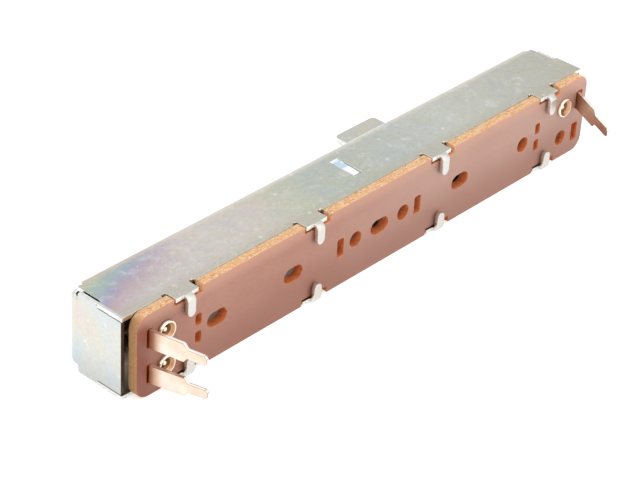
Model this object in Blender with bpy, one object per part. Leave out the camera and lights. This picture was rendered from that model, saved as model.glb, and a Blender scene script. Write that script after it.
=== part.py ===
"""Slide potentiometer with 60 mm of travel, in a case folded from one steel sheet.

The part lies on one long side wall. +X runs along the travel, from the end with two
terminals to the end with one, +Y is the way the lever points, and +Z is up. The origin
is the centre of the lower side wall's outer face. Run with
blender --background --python part.py, or from the text editor.
"""
import math

import bmesh
import bpy
from mathutils import Vector

MM = 0.001

# Case, one folded sheet
CASE_LENGTH = 75.0 * MM
CASE_WIDTH = 10.1 * MM
CASE_DEPTH = 8.1 * MM
SHEET = 0.5 * MM
WEB_BEND = 0.5 * MM
FLAP_BEND = 0.7 * MM
FLAP_SHORTFALL = 0.15 * MM
FLAP_NECK_INSET = 1.05 * MM
FLAP_NECK_DEPTH = 1.6 * MM
FLAP_ROOT_INSET = 0.15 * MM
FLAP_STEP_DEPTH = 4.45 * MM
FLAP_STEP_ROUND = 0.3 * MM
FLAP_TIP_INSET = 0.6 * MM
FLAP_STEP_RUN = 0.1 * MM
FLAP_LAP = 0.15 * MM
WALL_END_GAP = 0.12 * MM
RELIEF_RADIUS = 0.55 * MM
FIXING_INSET = 2.5 * MM
FIXING_RADIUS = 1.05 * MM

# Tabs that hold the board
END_TAB_INSET = 7.8 * MM
INNER_TABS = (-10.5 * MM, 10.1 * MM)
SHOULDER_WIDTH = 3.2 * MM
PRONG_WIDTH = 1.1 * MM
PRONG_REACH = 2.5 * MM
PRONG_BEND = 0.25 * MM
TAB_RELIEF_RADIUS = 0.35 * MM

# Tongue pressed into the upper side wall
TONGUE_WIDTH = 1.15 * MM
TONGUE_START = 2.1 * MM
TONGUE_LENGTH = 3.5 * MM
TONGUE_FALL = 0.5 * MM
TONGUE_SIDE_GAP = 0.05 * MM
TONGUE_END_GAP = 0.25 * MM
TONGUE_ROOT = 0.6 * MM

# Circuit board
BOARD_THICKNESS = 1.2 * MM
BOARD_NEAR_INSET = 0.85 * MM
BOARD_FAR_INSET = 0.2 * MM
BOARD_CORNER = 1.6 * MM
HOLE_LINE_DROP = 0.1 * MM
NOTCH_WIDTH = 4.1 * MM
NOTCH_SHIFT = 0.25 * MM
NOTCH_DEPTH = 0.8 * MM

# Holes in the board: at their distance from the middle, or inset from its near or far end
MIDDLE_ROUND_HOLES = (-3.95 * MM, 3.95 * MM)
MIDDLE_OBLONG_HOLES = (-13.85 * MM, 0.0 * MM, 13.85 * MM)
MIDDLE_TALL_SLOTS = (-6.4 * MM, 6.4 * MM)
NEAR_OBLONG_INSET = 12.2 * MM
FAR_ROUND_INSET = 12.1 * MM
NEAR_SMALL_SLOT_INSET = 9.5 * MM
FAR_SMALL_SLOT_INSET = 9.4 * MM
SPARE_HOLE_INSET = 4.5 * MM
ROUND_HOLE_RADIUS = 0.95 * MM
OBLONG_LENGTH = 2.9 * MM
OBLONG_WIDTH = 1.8 * MM
TALL_SLOT_WIDTH = 1.05 * MM
TALL_SLOT_HEIGHT = 2.25 * MM
SMALL_SLOT_WIDTH = 0.85 * MM
SMALL_SLOT_HEIGHT = 1.4 * MM
SMALL_SLOT_RISE = 1.1 * MM
SLOT_ROUND = 0.25 * MM

# Printed tracks and pads on the board's inner face
FILM = 0.1 * MM
TRACK_WIDTH = 1.3 * MM
TRACK_WALL_GAP = 1.0 * MM
TRACK_OVERRUN = 1.2 * MM
PAD_WIDTH = 2.6 * MM
PAD_LENGTH = 3.4 * MM

# Terminals and their rivets
TERMINAL_MARGIN = 2.95 * MM
LOWER_LEG_DROP = 0.15 * MM
NEAR_SLOT_INSET = 2.4 * MM
FAR_SLOT_INSET = 1.8 * MM
NEAR_LEG_INSET = 2.7 * MM
FAR_LEG_INSET = 1.85 * MM
NEAR_RIVET_INSET = 4.85 * MM
FAR_RIVET_INSET = 4.55 * MM
STRIP = 0.4 * MM
STRIP_BEND = 0.2 * MM
STRIP_HALF_WIDTH = 1.1 * MM
TIP_HALF_WIDTH = 0.55 * MM
NEAR_WIDE_LENGTH = 4.0 * MM
FAR_WIDE_LENGTH = 4.5 * MM
NEAR_LEG_LENGTH = 6.8 * MM
FAR_LEG_LENGTH = 8.2 * MM
SHOULDER_RUN = 0.6 * MM
TIP_CHAMFER = 0.3 * MM
LEAN_RADIUS = 0.3 * MM
NEAR_UPPER_LEAN = 12.0
NEAR_LOWER_LEAN = 15.0
FAR_LEAN = 27.0
TERMINAL_SLOT_WIDTH = 1.1 * MM
TERMINAL_SLOT_HEIGHT = 2.4 * MM
RIVET_SHANK_RADIUS = 0.8 * MM
RIVET_FLANGE_RADIUS = 1.2 * MM
RIVET_FLANGE_HEIGHT = 0.34 * MM
RIVET_BORE_RADIUS = 0.55 * MM
RIVET_BORE_DEPTH = 0.6 * MM
RIVET_NUB_RADIUS = 0.3 * MM
RIVET_HEAD_RADIUS = 1.05 * MM
RIVET_HEAD_HEIGHT = 0.3 * MM

# Slider: carriage, lever, wiper and guide spring
TRAVEL_END_SPACE = 7.5 * MM
SLIDER_REST = 13.3 * MM
CARRIAGE_LENGTH = 12.0 * MM
CARRIAGE_RAIL = 0.8 * MM
CARRIAGE_CHANNEL = 0.85 * MM
CARRIAGE_CHAMFER = 0.5 * MM
CARRIAGE_POCKET_DEPTH = 2.2 * MM
CARRIAGE_POCKET_LENGTH = 2.0 * MM
CARRIAGE_WALL = 0.8 * MM
LEVER_THICKNESS = 0.8 * MM
LEVER_STEM_WIDTH = 4.0 * MM
LEVER_HEAD_WIDTH = 6.8 * MM
LEVER_HEAD_START = 2.0 * MM
LEVER_REACH = 6.4 * MM
LEVER_ROUND = 0.6 * MM
LEVER_ROOT = 4.4 * MM
LEVER_SLOT_SIDE_GAP = 0.5 * MM
LEVER_SLOT_END_GAP = 0.3 * MM
WIPER_SPACE = 1.25 * MM
WIPER_SHEET = 0.15 * MM
WIPER_PLATE_LENGTH = 3.4 * MM
WIPER_FOLD = 0.2 * MM
WIPER_FINGER_WIDTH = 0.4 * MM
WIPER_FINGER_GAP = 0.15 * MM
WIPER_FINGER_LENGTH = 1.9 * MM
WIPER_TIP_BEND = 40.0
WIPER_TIP_RADIUS = 0.35 * MM
PEG_RADIUS = 0.5 * MM
PEG_OFFSET = 1.3 * MM
PEG_HEIGHT = 0.3 * MM
SPRING_SHEET = 0.15 * MM
SPRING_WIDTH = 2.6 * MM
SPRING_HALF_LENGTH = 3.6 * MM

# Clearances
SEAT = 0.05 * MM
RUNNING = 0.2 * MM
WEB_CLEARANCE = 0.25 * MM

# Fineness of the round stretches
BEND_STEPS = 6
CORNER_STEPS = 6
CIRCLE_STEPS = 32
OVERCUT = 1.0 * MM
WHOLE_TURN = 360.0
SQUARE = 90.0
SMOOTH_BELOW = math.radians(32.0)

# Sizes and places that follow from those above
HALF_LENGTH = CASE_LENGTH / 2
TRAVEL = CASE_LENGTH - 2 * TRAVEL_END_SPACE
TAB_OFFSETS = (END_TAB_INSET - HALF_LENGTH, *INNER_TABS, HALF_LENGTH - END_TAB_INSET)
ROUND_HOLES = (*MIDDLE_ROUND_HOLES, HALF_LENGTH - FAR_ROUND_INSET)
OBLONG_HOLES = (NEAR_OBLONG_INSET - HALF_LENGTH, *MIDDLE_OBLONG_HOLES)
SMALL_SLOTS = (NEAR_SMALL_SLOT_INSET - HALF_LENGTH, HALF_LENGTH - FAR_SMALL_SLOT_INSET)
SPARE_HOLE = HALF_LENGTH - SPARE_HOLE_INSET
NEAR_SLOT, FAR_SLOT = NEAR_SLOT_INSET - HALF_LENGTH, HALF_LENGTH - FAR_SLOT_INSET
NEAR_LEG, FAR_LEG = NEAR_LEG_INSET - HALF_LENGTH, HALF_LENGTH - FAR_LEG_INSET
NEAR_RIVET, FAR_RIVET = NEAR_RIVET_INSET - HALF_LENGTH, HALF_LENGTH - FAR_RIVET_INSET
X_BOARD_NEAR = BOARD_NEAR_INSET - HALF_LENGTH
X_BOARD_FAR = HALF_LENGTH - BOARD_FAR_INSET
Y_WEB = CASE_DEPTH / 2
Y_EDGE = -CASE_DEPTH / 2
Y_BOARD_IN = Y_EDGE - SEAT
Y_BOARD_OUT = Y_BOARD_IN - BOARD_THICKNESS
Y_PRONG = Y_BOARD_OUT - PRONG_BEND
Y_FILM = Y_BOARD_IN + SEAT + FILM
Y_FOOT_LOW = Y_FILM + SEAT
Y_FOOT_HIGH = Y_FOOT_LOW + STRIP
Y_CARRIAGE_HIGH = Y_WEB - SHEET - WEB_CLEARANCE
Y_CARRIAGE_LOW = Y_FILM + WIPER_SPACE
Z_MID = CASE_WIDTH / 2
Z_HOLE_LINE = Z_MID - HOLE_LINE_DROP
TRACK_OFFSET = Z_MID - SHEET - TRACK_WALL_GAP - TRACK_WIDTH / 2
Z_UPPER = Z_HOLE_LINE + (Z_MID - TERMINAL_MARGIN)
Z_LOWER = Z_HOLE_LINE - (Z_MID - TERMINAL_MARGIN)


# Outlines

def arc(centre, radius, start, sweep, steps=BEND_STEPS):
    """Points along an arc, both ends included; angles in degrees."""
    angles = [math.radians(start + sweep * i / steps) for i in range(steps + 1)]
    return [(centre[0] + radius * math.cos(a), centre[1] + radius * math.sin(a)) for a in angles]


def circle(centre, radius):
    """Points round a circle, the first not repeated."""
    return arc(centre, radius, 0.0, WHOLE_TURN, CIRCLE_STEPS)[:-1]


def rounded_rectangle(low, high, radius):
    """Rectangle between two corners, with its own corners rounded."""
    left, bottom = low[0] + radius, low[1] + radius
    right, top = high[0] - radius, high[1] - radius
    corners = ((right, top), (left, top), (left, bottom), (right, bottom))
    points = []
    for turn, centre in enumerate(corners):
        points += arc(centre, radius, turn * SQUARE, SQUARE, CORNER_STEPS)
    return points


def slot_outline(centre, width, height, radius):
    """Rounded slot about a centre; the radius is at most half its smaller side."""
    radius = min(radius, width / 2, height / 2) * 0.999
    low = (centre[0] - width / 2, centre[1] - height / 2)
    high = (centre[0] + width / 2, centre[1] + height / 2)
    return rounded_rectangle(low, high, radius)


def heading_vector(degrees):
    """Unit vector for a heading in degrees."""
    return Vector((math.cos(math.radians(degrees)), math.sin(math.radians(degrees))))


def folded_outline(start, heading, steps, thickness):
    """Outline of a folded sheet seen edge-on.

    start lies on the face to the left of the heading. Each step is a flat length, the
    left turn after it in degrees and the bend's inside radius.
    """
    left, right = [], []
    point = Vector(start)
    for flat, turn, radius in steps:
        ahead = heading_vector(heading)
        inward = heading_vector(heading + SQUARE)
        left.append(point.copy())
        right.append(point - inward * thickness)
        point = point + ahead * flat
        left.append(point.copy())
        right.append(point - inward * thickness)
        if turn:
            centre = point + inward * radius
            begin = heading - SQUARE
            left += [Vector(p) for p in arc(centre, radius, begin, turn)][1:-1]
            right += [Vector(p) for p in arc(centre, radius + thickness, begin, turn)][1:-1]
            heading += turn
            point = centre + heading_vector(heading - SQUARE) * radius
    return [tuple(p) for p in left] + [tuple(p) for p in reversed(right)]


class StripPath:
    """Centre line of a bent strip seen edge-on: flats joined by round bends."""

    def __init__(self, start, heading, steps):
        self.pieces = []
        self.length = 0.0
        point = Vector(start)
        for flat, turn, radius in steps:
            if flat:
                self.pieces.append((self.length, flat, point, heading, 0.0))
                self.length += flat
                point = point + heading_vector(heading) * flat
            if turn:
                run = abs(math.radians(turn)) * radius
                self.pieces.append((self.length, run, point, heading, turn))
                self.length += run
                point = self._along_bend(point, heading, turn, radius)
                heading += turn

    @staticmethod
    def _along_bend(point, heading, turn, radius):
        side = math.copysign(1.0, turn)
        centre = point + heading_vector(heading + side * SQUARE) * radius
        return centre - heading_vector(heading + turn + side * SQUARE) * radius

    def at(self, distance):
        """Point on the centre line and the unit normal there."""
        for begin, run, point, heading, turn in self.pieces:
            if distance <= begin + run or (begin, run) == self.pieces[-1][:2]:
                break
        share = (distance - begin) / run
        if not turn:
            return point + heading_vector(heading) * (distance - begin), heading_vector(heading + SQUARE)
        radius = run / abs(math.radians(turn))
        here = self._along_bend(point, heading, turn * share, radius)
        return here, heading_vector(heading + turn * share + SQUARE)

    def stations(self, extra):
        """Distances at which the strip needs a section."""
        marks = {0.0, self.length, *extra}
        for begin, run, _, _, turn in self.pieces:
            steps = BEND_STEPS if turn else 1
            marks.update(begin + run * i / steps for i in range(steps + 1))
        ordered = []
        for mark in sorted(marks):
            if not ordered or mark - ordered[-1] > 0.01 * MM:
                ordered.append(mark)
        return ordered


# Meshes and objects

def finish_mesh(name, bm):
    """Turn a bmesh into a mesh with its faces pointing out and its bends smooth."""
    bmesh.ops.recalc_face_normals(bm, faces=bm.faces)
    mesh = bpy.data.meshes.new(name)
    bm.to_mesh(mesh)
    bm.free()
    mesh.shade_smooth()
    mesh.set_sharp_from_angle(angle=SMOOTH_BELOW)
    return mesh


def prism_mesh(name, outline, axis, low, high):
    """Closed outline swept along one axis.

    The outline's two values belong to the other two axes, in the order X, Y, Z.
    """
    def place(point, along):
        values = list(point)
        values.insert("XYZ".index(axis), along)
        return values

    bm = bmesh.new()
    first = [bm.verts.new(place(p, low)) for p in outline]
    last = [bm.verts.new(place(p, high)) for p in outline]
    count = len(outline)
    bm.faces.new(first)
    bm.faces.new(reversed(last))
    for i in range(count):
        j = (i + 1) % count
        bm.faces.new((first[j], first[i], last[i], last[j]))
    return finish_mesh(name, bm)


def strip_mesh(name, path, thickness, half_width, marks=(), across=0.0):
    """Bent strip: the path lies in X and Y, and the width runs along Z about across."""
    bm = bmesh.new()
    rings = []
    for distance in path.stations(marks):
        point, normal = path.at(distance)
        wide = half_width(distance)
        ring = []
        for side, edge in ((1, 1), (-1, 1), (-1, -1), (1, -1)):
            x, y = point + normal * (side * thickness / 2)
            ring.append(bm.verts.new((x, y, across + edge * wide)))
        rings.append(ring)
    for a, b in zip(rings, rings[1:]):
        for i in range(len(a)):
            j = (i + 1) % len(a)
            bm.faces.new((a[i], a[j], b[j], b[i]))
    bm.faces.new(rings[0])
    bm.faces.new(reversed(rings[-1]))
    return finish_mesh(name, bm)


def turned_mesh(name, profile):
    """Solid of revolution about Y, from (radius, y) points that start and end on the axis."""
    bm = bmesh.new()
    rings = []
    for radius, y in profile:
        if radius == 0.0:
            rings.append([bm.verts.new((0.0, y, 0.0))])
        else:
            rings.append([bm.verts.new((x, y, z)) for x, z in circle((0.0, 0.0), radius)])
    for a, b in zip(rings, rings[1:]):
        for i in range(CIRCLE_STEPS):
            j = (i + 1) % CIRCLE_STEPS
            corners = [a[i % len(a)], a[j % len(a)], b[j % len(b)], b[i % len(b)]]
            bm.faces.new(list(dict.fromkeys(corners)))
    return finish_mesh(name, bm)


def add_object(name, mesh, finish=None, parent=None, location=(0.0, 0.0, 0.0)):
    """Link a mesh to the scene as a named object."""
    obj = bpy.data.objects.new(name, mesh)
    bpy.context.scene.collection.objects.link(obj)
    obj.parent = parent
    obj.location = location
    if finish:
        mesh.materials.append(finish)
    return obj


def combine(target, operation, meshes, label):
    """Cut or join shapes with a target through one Boolean modifier.

    The shapes are hidden guides, in the target's own frame.
    """
    group = bpy.data.collections.new(f"{target.name}_{label}")
    bpy.context.scene.collection.children.link(group)
    for i, mesh in enumerate(meshes):
        guide = bpy.data.objects.new(f"{target.name}_{label}_{i}", mesh)
        group.objects.link(guide)
        guide.parent = target.parent
        guide.location = target.location
        guide.hide_render = True
        guide.display_type = "WIRE"
    modifier = target.modifiers.new(label, "BOOLEAN")
    modifier.operation = operation
    modifier.operand_type = "COLLECTION"
    modifier.collection = group
    modifier.solver = "EXACT"


def material(name, colour, roughness, metallic):
    """Principled material from a linear colour, roughness and metallic value."""
    finish = bpy.data.materials.new(name)
    finish.use_nodes = True
    shader = finish.node_tree.nodes["Principled BSDF"]
    shader.inputs["Base Color"].default_value = (*colour, 1.0)
    shader.inputs["Roughness"].default_value = roughness
    shader.inputs["Metallic"].default_value = metallic
    return finish


# Case

def channel_mesh():
    """Web, side walls and prongs as one folded section, over the whole length."""
    prong_flat = PRONG_REACH - SHEET - PRONG_BEND
    wall_flat = (Y_WEB - SHEET - WEB_BEND) - (Y_PRONG + PRONG_BEND)
    web_flat = CASE_WIDTH - 2 * (SHEET + WEB_BEND)
    steps = (
        (prong_flat, SQUARE, PRONG_BEND),
        (wall_flat, SQUARE, WEB_BEND),
        (web_flat, SQUARE, WEB_BEND),
        (wall_flat, SQUARE, PRONG_BEND),
        (prong_flat, 0.0, 0.0),
    )
    outline = folded_outline((Y_PRONG, PRONG_REACH), -SQUARE, steps, SHEET)
    return prism_mesh("case", outline, "X", -HALF_LENGTH, HALF_LENGTH)


def half_tab_outline(tab, side):
    """Edge of the waste beside a tab, from the prong out to the wall's free edge."""
    prong = tab + side * PRONG_WIDTH / 2
    shoulder = tab + side * SHOULDER_WIDTH / 2
    relief = (shoulder + side * TAB_RELIEF_RADIUS, Y_EDGE)
    start, sweep = (180.0, -180.0) if side > 0 else (0.0, 180.0)
    outside = Y_PRONG - SHEET - OVERCUT
    points = [(prong, outside), (prong, Y_BOARD_OUT), (shoulder, Y_BOARD_OUT)]
    return points + arc(relief, TAB_RELIEF_RADIUS, start, sweep)


def edge_waste_outlines():
    """Waste between the tabs and at both ends, seen along Z."""
    outside = Y_PRONG - SHEET - OVERCUT
    near, far = -HALF_LENGTH - OVERCUT, HALF_LENGTH + OVERCUT
    first = half_tab_outline(TAB_OFFSETS[0], -1)
    last = half_tab_outline(TAB_OFFSETS[-1], 1)
    outlines = [first + [(near, Y_EDGE), (near, outside)], last + [(far, Y_EDGE), (far, outside)]]
    for here, after in zip(TAB_OFFSETS, TAB_OFFSETS[1:]):
        outlines.append(half_tab_outline(here, 1) + half_tab_outline(after, -1)[::-1])
    return outlines


def prong_tip_outline(tab):
    """Waste between an upper and a lower prong, which leaves both tips round."""
    radius = PRONG_WIDTH / 2
    low, high = PRONG_REACH - radius, CASE_WIDTH - PRONG_REACH + radius
    outer = radius + OVERCUT
    lower = arc((tab, low), radius, 180.0, -180.0)
    upper = arc((tab, high), radius, 0.0, -180.0)
    return ([(tab - outer, low)] + lower + [(tab + outer, low), (tab + outer, high)]
            + upper + [(tab - outer, high)])


def end_waste_outline(side):
    """Waste where the end of a side wall is set back behind the flap's root, seen along Z."""
    set_back = HALF_LENGTH - SHEET - WALL_END_GAP
    step = Y_WEB - FLAP_STEP_DEPTH
    outer = HALF_LENGTH + OVERCUT
    corner = arc((set_back + FLAP_STEP_ROUND, step + FLAP_STEP_ROUND), FLAP_STEP_ROUND, 180.0, SQUARE)
    points = [(set_back, Y_WEB + OVERCUT)] + corner + [(outer, step), (outer, Y_WEB + OVERCUT)]
    return [(side * x, y) for x, y in points]


def web_end_outlines(side):
    """Waste past the web's end, with a round relief on each side of the flap's neck."""
    x = HALF_LENGTH - SHEET - FLAP_BEND
    outer = HALF_LENGTH + OVERCUT
    low, high = -OVERCUT, CASE_WIDTH + OVERCUT
    outlines = [[(side * x, low), (side * outer, low), (side * outer, high), (side * x, high)]]
    for up in (-1, 1):
        neck = Z_MID + up * (CASE_WIDTH / 2 - FLAP_NECK_INSET)
        centre = (x, neck + up * RELIEF_RADIUS)
        ring = arc(centre, RELIEF_RADIUS, -up * SQUARE, -up * 2 * SQUARE)
        outline = [(outer, neck)] + ring + [(outer, centre[1] + up * RELIEF_RADIUS)]
        outlines.append([(side * px, pz) for px, pz in outline])
    return outlines


def flap_mesh(side):
    """End flap: a narrow neck bent from the web, a wide root and a tip inside the side walls."""
    bend = FLAP_BEND + SHEET / 2
    lap = FLAP_LAP
    start = (side * (HALF_LENGTH - SHEET - FLAP_BEND - lap), Y_WEB - SHEET / 2)
    down = CASE_DEPTH - SHEET - FLAP_BEND - FLAP_SHORTFALL
    steps = ((lap, -side * SQUARE, bend), (down, 0.0, 0.0))
    path = StripPath(start, 0.0 if side > 0 else 180.0, steps)
    tip = path.length
    free_edge = CASE_DEPTH - FLAP_SHORTFALL
    root = tip - (free_edge - FLAP_NECK_DEPTH)
    step = tip - (free_edge - FLAP_STEP_DEPTH)
    widths = (
        (0.0, FLAP_NECK_INSET),
        (root, FLAP_NECK_INSET),
        (root + FLAP_STEP_RUN, FLAP_ROOT_INSET),
        (step - FLAP_STEP_RUN, FLAP_ROOT_INSET),
        (step, FLAP_TIP_INSET),
        (tip, FLAP_TIP_INSET),
    )

    def half_width(distance):
        for (low, inset), (high, after) in zip(widths, widths[1:]):
            if distance <= high:
                share = (distance - low) / (high - low)
                return CASE_WIDTH / 2 - inset - (after - inset) * share
        return CASE_WIDTH / 2 - widths[-1][1]

    marks = [distance for distance, _ in widths]
    return strip_mesh("flap", path, SHEET, half_width, marks, across=Z_MID)


def web_opening_meshes():
    """Lever slot and the two tapped fixing holes."""
    low, high = Y_WEB - SHEET - OVERCUT, Y_WEB + OVERCUT
    length = TRAVEL + LEVER_STEM_WIDTH + 2 * LEVER_SLOT_END_GAP
    height = LEVER_THICKNESS + 2 * LEVER_SLOT_SIDE_GAP
    outline = slot_outline((0.0, Z_MID), length, height, height / 2)
    meshes = [prism_mesh("lever_slot", outline, "Y", low, high)]
    for side in (-1, 1):
        outline = circle((side * (HALF_LENGTH - FIXING_INSET), Z_MID), FIXING_RADIUS)
        meshes.append(prism_mesh("fixing_hole", outline, "Y", low, high))
    return meshes


def tongue_window_mesh():
    """Window in the upper wall, from which the tongue is lanced."""
    half = TONGUE_WIDTH / 2 + TONGUE_SIDE_GAP
    high = Y_WEB - TONGUE_START
    low = high - TONGUE_LENGTH - TONGUE_END_GAP
    outline = [(-half, low), (half, low), (half, high), (-half, high)]
    return prism_mesh("tongue_window", outline, "Z", CASE_WIDTH - SHEET - OVERCUT, CASE_WIDTH + OVERCUT)


def tongue_mesh():
    """Tongue that stays joined at its lever end and slopes down into the case."""
    root = Y_WEB - TONGUE_START
    knee = root - TONGUE_ROOT
    tip = root - TONGUE_LENGTH
    high, low = CASE_WIDTH, CASE_WIDTH - SHEET
    outline = [
        (root + TONGUE_ROOT, high), (knee, high), (tip, high - TONGUE_FALL),
        (tip, low - TONGUE_FALL), (knee, low), (root + TONGUE_ROOT, low),
    ]
    return prism_mesh("tongue", outline, "X", -TONGUE_WIDTH / 2, TONGUE_WIDTH / 2)


def build_case():
    """Folded steel case with its flaps, tabs, slot and tongue."""
    finish = material("zinc_plated_steel", (0.55, 0.56, 0.55), 0.35, 1.0)
    case = add_object("case", channel_mesh(), finish)
    low, high = -OVERCUT, CASE_WIDTH + OVERCUT
    waste = [prism_mesh("edge_waste", o, "Z", low, high) for o in edge_waste_outlines()]
    outside = Y_PRONG - SHEET - OVERCUT
    inside = Y_BOARD_OUT - SEAT
    waste += [prism_mesh("tip_waste", prong_tip_outline(t), "Y", outside, inside) for t in TAB_OFFSETS]
    waste += web_opening_meshes()
    waste.append(tongue_window_mesh())
    web_in, web_out = Y_WEB - SHEET - WEB_BEND, Y_WEB + OVERCUT
    for side in (-1, 1):
        waste.append(prism_mesh("end_waste", end_waste_outline(side), "Z", low, high))
        waste += [prism_mesh("web_end", o, "Y", web_in, web_out) for o in web_end_outlines(side)]
    combine(case, "DIFFERENCE", waste, "waste")
    combine(case, "UNION", [flap_mesh(-1), flap_mesh(1), tongue_mesh()], "folds")


# Circuit board with its printed films

def board_hole_outlines():
    """Every hole in the board, seen along Y."""
    outlines = [circle((x, Z_HOLE_LINE), ROUND_HOLE_RADIUS) for x in ROUND_HOLES]
    outlines.append(circle((SPARE_HOLE, Z_LOWER), ROUND_HOLE_RADIUS))
    for x in OBLONG_HOLES:
        outlines.append(slot_outline((x, Z_HOLE_LINE), OBLONG_LENGTH, OBLONG_WIDTH, OBLONG_WIDTH / 2))
    for x in MIDDLE_TALL_SLOTS:
        outlines.append(slot_outline((x, Z_HOLE_LINE), TALL_SLOT_WIDTH, TALL_SLOT_HEIGHT, SLOT_ROUND))
    for x in SMALL_SLOTS:
        for rise in (-SMALL_SLOT_RISE, SMALL_SLOT_RISE):
            centre = (x, Z_HOLE_LINE + rise)
            outlines.append(slot_outline(centre, SMALL_SLOT_WIDTH, SMALL_SLOT_HEIGHT, SLOT_ROUND))
    lower = Z_LOWER - LOWER_LEG_DROP
    for x, z in ((NEAR_SLOT, Z_UPPER), (NEAR_SLOT, lower), (FAR_SLOT, Z_UPPER), (FAR_SLOT, lower)):
        outlines.append(slot_outline((x, z), TERMINAL_SLOT_WIDTH, TERMINAL_SLOT_HEIGHT, SLOT_ROUND))
    for x, z in ((NEAR_RIVET, Z_UPPER), (NEAR_RIVET, Z_LOWER), (FAR_RIVET, Z_UPPER)):
        outlines.append(circle((x, z), RIVET_SHANK_RADIUS + SEAT))
    return outlines


def notch_outlines():
    """Notches in the board's long edges, one for each tab."""
    outlines = []
    for tab in TAB_OFFSETS:
        left = tab + NOTCH_SHIFT - NOTCH_WIDTH / 2
        right = tab + NOTCH_SHIFT + NOTCH_WIDTH / 2
        for low, high in ((-OVERCUT, NOTCH_DEPTH), (CASE_WIDTH - NOTCH_DEPTH, CASE_WIDTH + OVERCUT)):
            outlines.append([(left, low), (right, low), (right, high), (left, high)])
    return outlines


def build_board():
    """Phenolic paper board, as wide as the case, with its notches and holes."""
    finish = material("phenolic_paper", (0.48, 0.25, 0.18), 0.5, 0.0)
    outline = rounded_rectangle((X_BOARD_NEAR, 0.0), (X_BOARD_FAR, CASE_WIDTH), BOARD_CORNER)
    board = add_object("circuit_board", prism_mesh("circuit_board", outline, "Y", Y_BOARD_OUT, Y_BOARD_IN), finish)
    low, high = Y_BOARD_OUT - OVERCUT, Y_BOARD_IN + OVERCUT
    holes = [prism_mesh("hole", o, "Y", low, high) for o in board_hole_outlines() + notch_outlines()]
    combine(board, "DIFFERENCE", holes, "holes")


def film_mesh(name, low, high):
    """Printed film between two corners on the board's inner face."""
    outline = rounded_rectangle(low, high, FILM)
    return prism_mesh(name, outline, "Y", Y_FILM - FILM, Y_FILM)


def build_films():
    """Carbon track, silver collector track, and the silver pads under the terminals."""
    carbon = material("carbon_ink", (0.03, 0.03, 0.03), 0.6, 0.0)
    silver = material("silver_ink", (0.62, 0.61, 0.58), 0.45, 0.6)
    half = TRACK_WIDTH / 2
    upper, lower = Z_HOLE_LINE + TRACK_OFFSET, Z_HOLE_LINE - TRACK_OFFSET
    near_pad = NEAR_RIVET - STRIP_HALF_WIDTH
    far_pad = FAR_RIVET + STRIP_HALF_WIDTH
    near_end, far_end = near_pad + PAD_LENGTH, far_pad - PAD_LENGTH
    pad_high = upper + half
    pads = (
        ("silver_pad_near", near_pad, near_end, NEAR_RIVET),
        ("silver_pad_far", far_end, far_pad, FAR_RIVET),
    )
    track = film_mesh("resistive_track", (near_end + SEAT, upper - half), (far_end - SEAT, pad_high))
    add_object("resistive_track", track, carbon)
    for name, left, right, rivet in pads:
        pad = add_object(name, film_mesh(name, (left, pad_high - PAD_WIDTH), (right, pad_high)), silver)
        combine(pad, "DIFFERENCE", [shank_clearance_mesh(rivet, Z_UPPER)], "hole")
    mesh = film_mesh("collector_track", (near_pad, lower - half), (TRAVEL / 2 + TRACK_OVERRUN, lower + half))
    collector = add_object("collector_track", mesh, silver)
    wide = film_mesh("collector_pad", (near_pad, lower - half), (near_end, lower - half + PAD_WIDTH))
    combine(collector, "UNION", [wide], "pad")
    combine(collector, "DIFFERENCE", [shank_clearance_mesh(NEAR_RIVET, Z_LOWER)], "hole")


def shank_clearance_mesh(x, z):
    """Round cutter a little larger than a rivet's shank."""
    outline = circle((x, z), RIVET_SHANK_RADIUS + SEAT)
    return prism_mesh("shank_clearance", outline, "Y", Y_BOARD_OUT - OVERCUT, Y_FOOT_HIGH + OVERCUT)


# Terminals and rivets

def terminal_path(rivet, leg, lean, length):
    """Centre line of a terminal, from its foot round the rivet to the tip of its leg."""
    way = math.copysign(1.0, leg - rivet)
    bend = STRIP_BEND + STRIP / 2
    start_x = rivet - way * STRIP_HALF_WIDTH
    middle = (Y_FOOT_LOW + Y_FOOT_HIGH) / 2
    foot = abs(leg - start_x) - bend
    through = (middle - bend) - Y_BOARD_OUT
    leg_flat = length - math.radians(lean) * LEAN_RADIUS
    turns = -way
    steps = ((foot, turns * SQUARE, bend), (through, turns * lean, LEAN_RADIUS), (leg_flat, 0.0, 0.0))
    return StripPath((start_x, middle), 0.0 if way > 0 else 180.0, steps)


def terminal_mesh(name, rivet, leg, z, lean, length, wide_length):
    """Bent strip with a round foot, a wide leg and a narrow tip."""
    path = terminal_path(rivet, leg, lean, length)
    tip = path.length
    shoulder = tip - length + wide_length

    def half_width(distance):
        if distance < STRIP_HALF_WIDTH:
            rise = STRIP_HALF_WIDTH - max(distance, SEAT)
            return math.sqrt(STRIP_HALF_WIDTH ** 2 - rise ** 2)
        share = min(max((distance - shoulder) / SHOULDER_RUN, 0.0), 1.0)
        ease = (1.0 - math.cos(math.pi * share)) / 2
        wide = STRIP_HALF_WIDTH + (TIP_HALF_WIDTH - STRIP_HALF_WIDTH) * ease
        return wide - max(distance - (tip - TIP_CHAMFER), 0.0)

    foot_marks = [STRIP_HALF_WIDTH * (1 - math.cos(math.radians(SQUARE * i / CORNER_STEPS)))
                  for i in range(CORNER_STEPS + 1)]
    shoulder_marks = [shoulder + SHOULDER_RUN * i / CORNER_STEPS for i in range(CORNER_STEPS + 1)]
    marks = foot_marks + shoulder_marks + [tip - TIP_CHAMFER]
    return strip_mesh(name, path, STRIP, half_width, marks, across=z)


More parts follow.
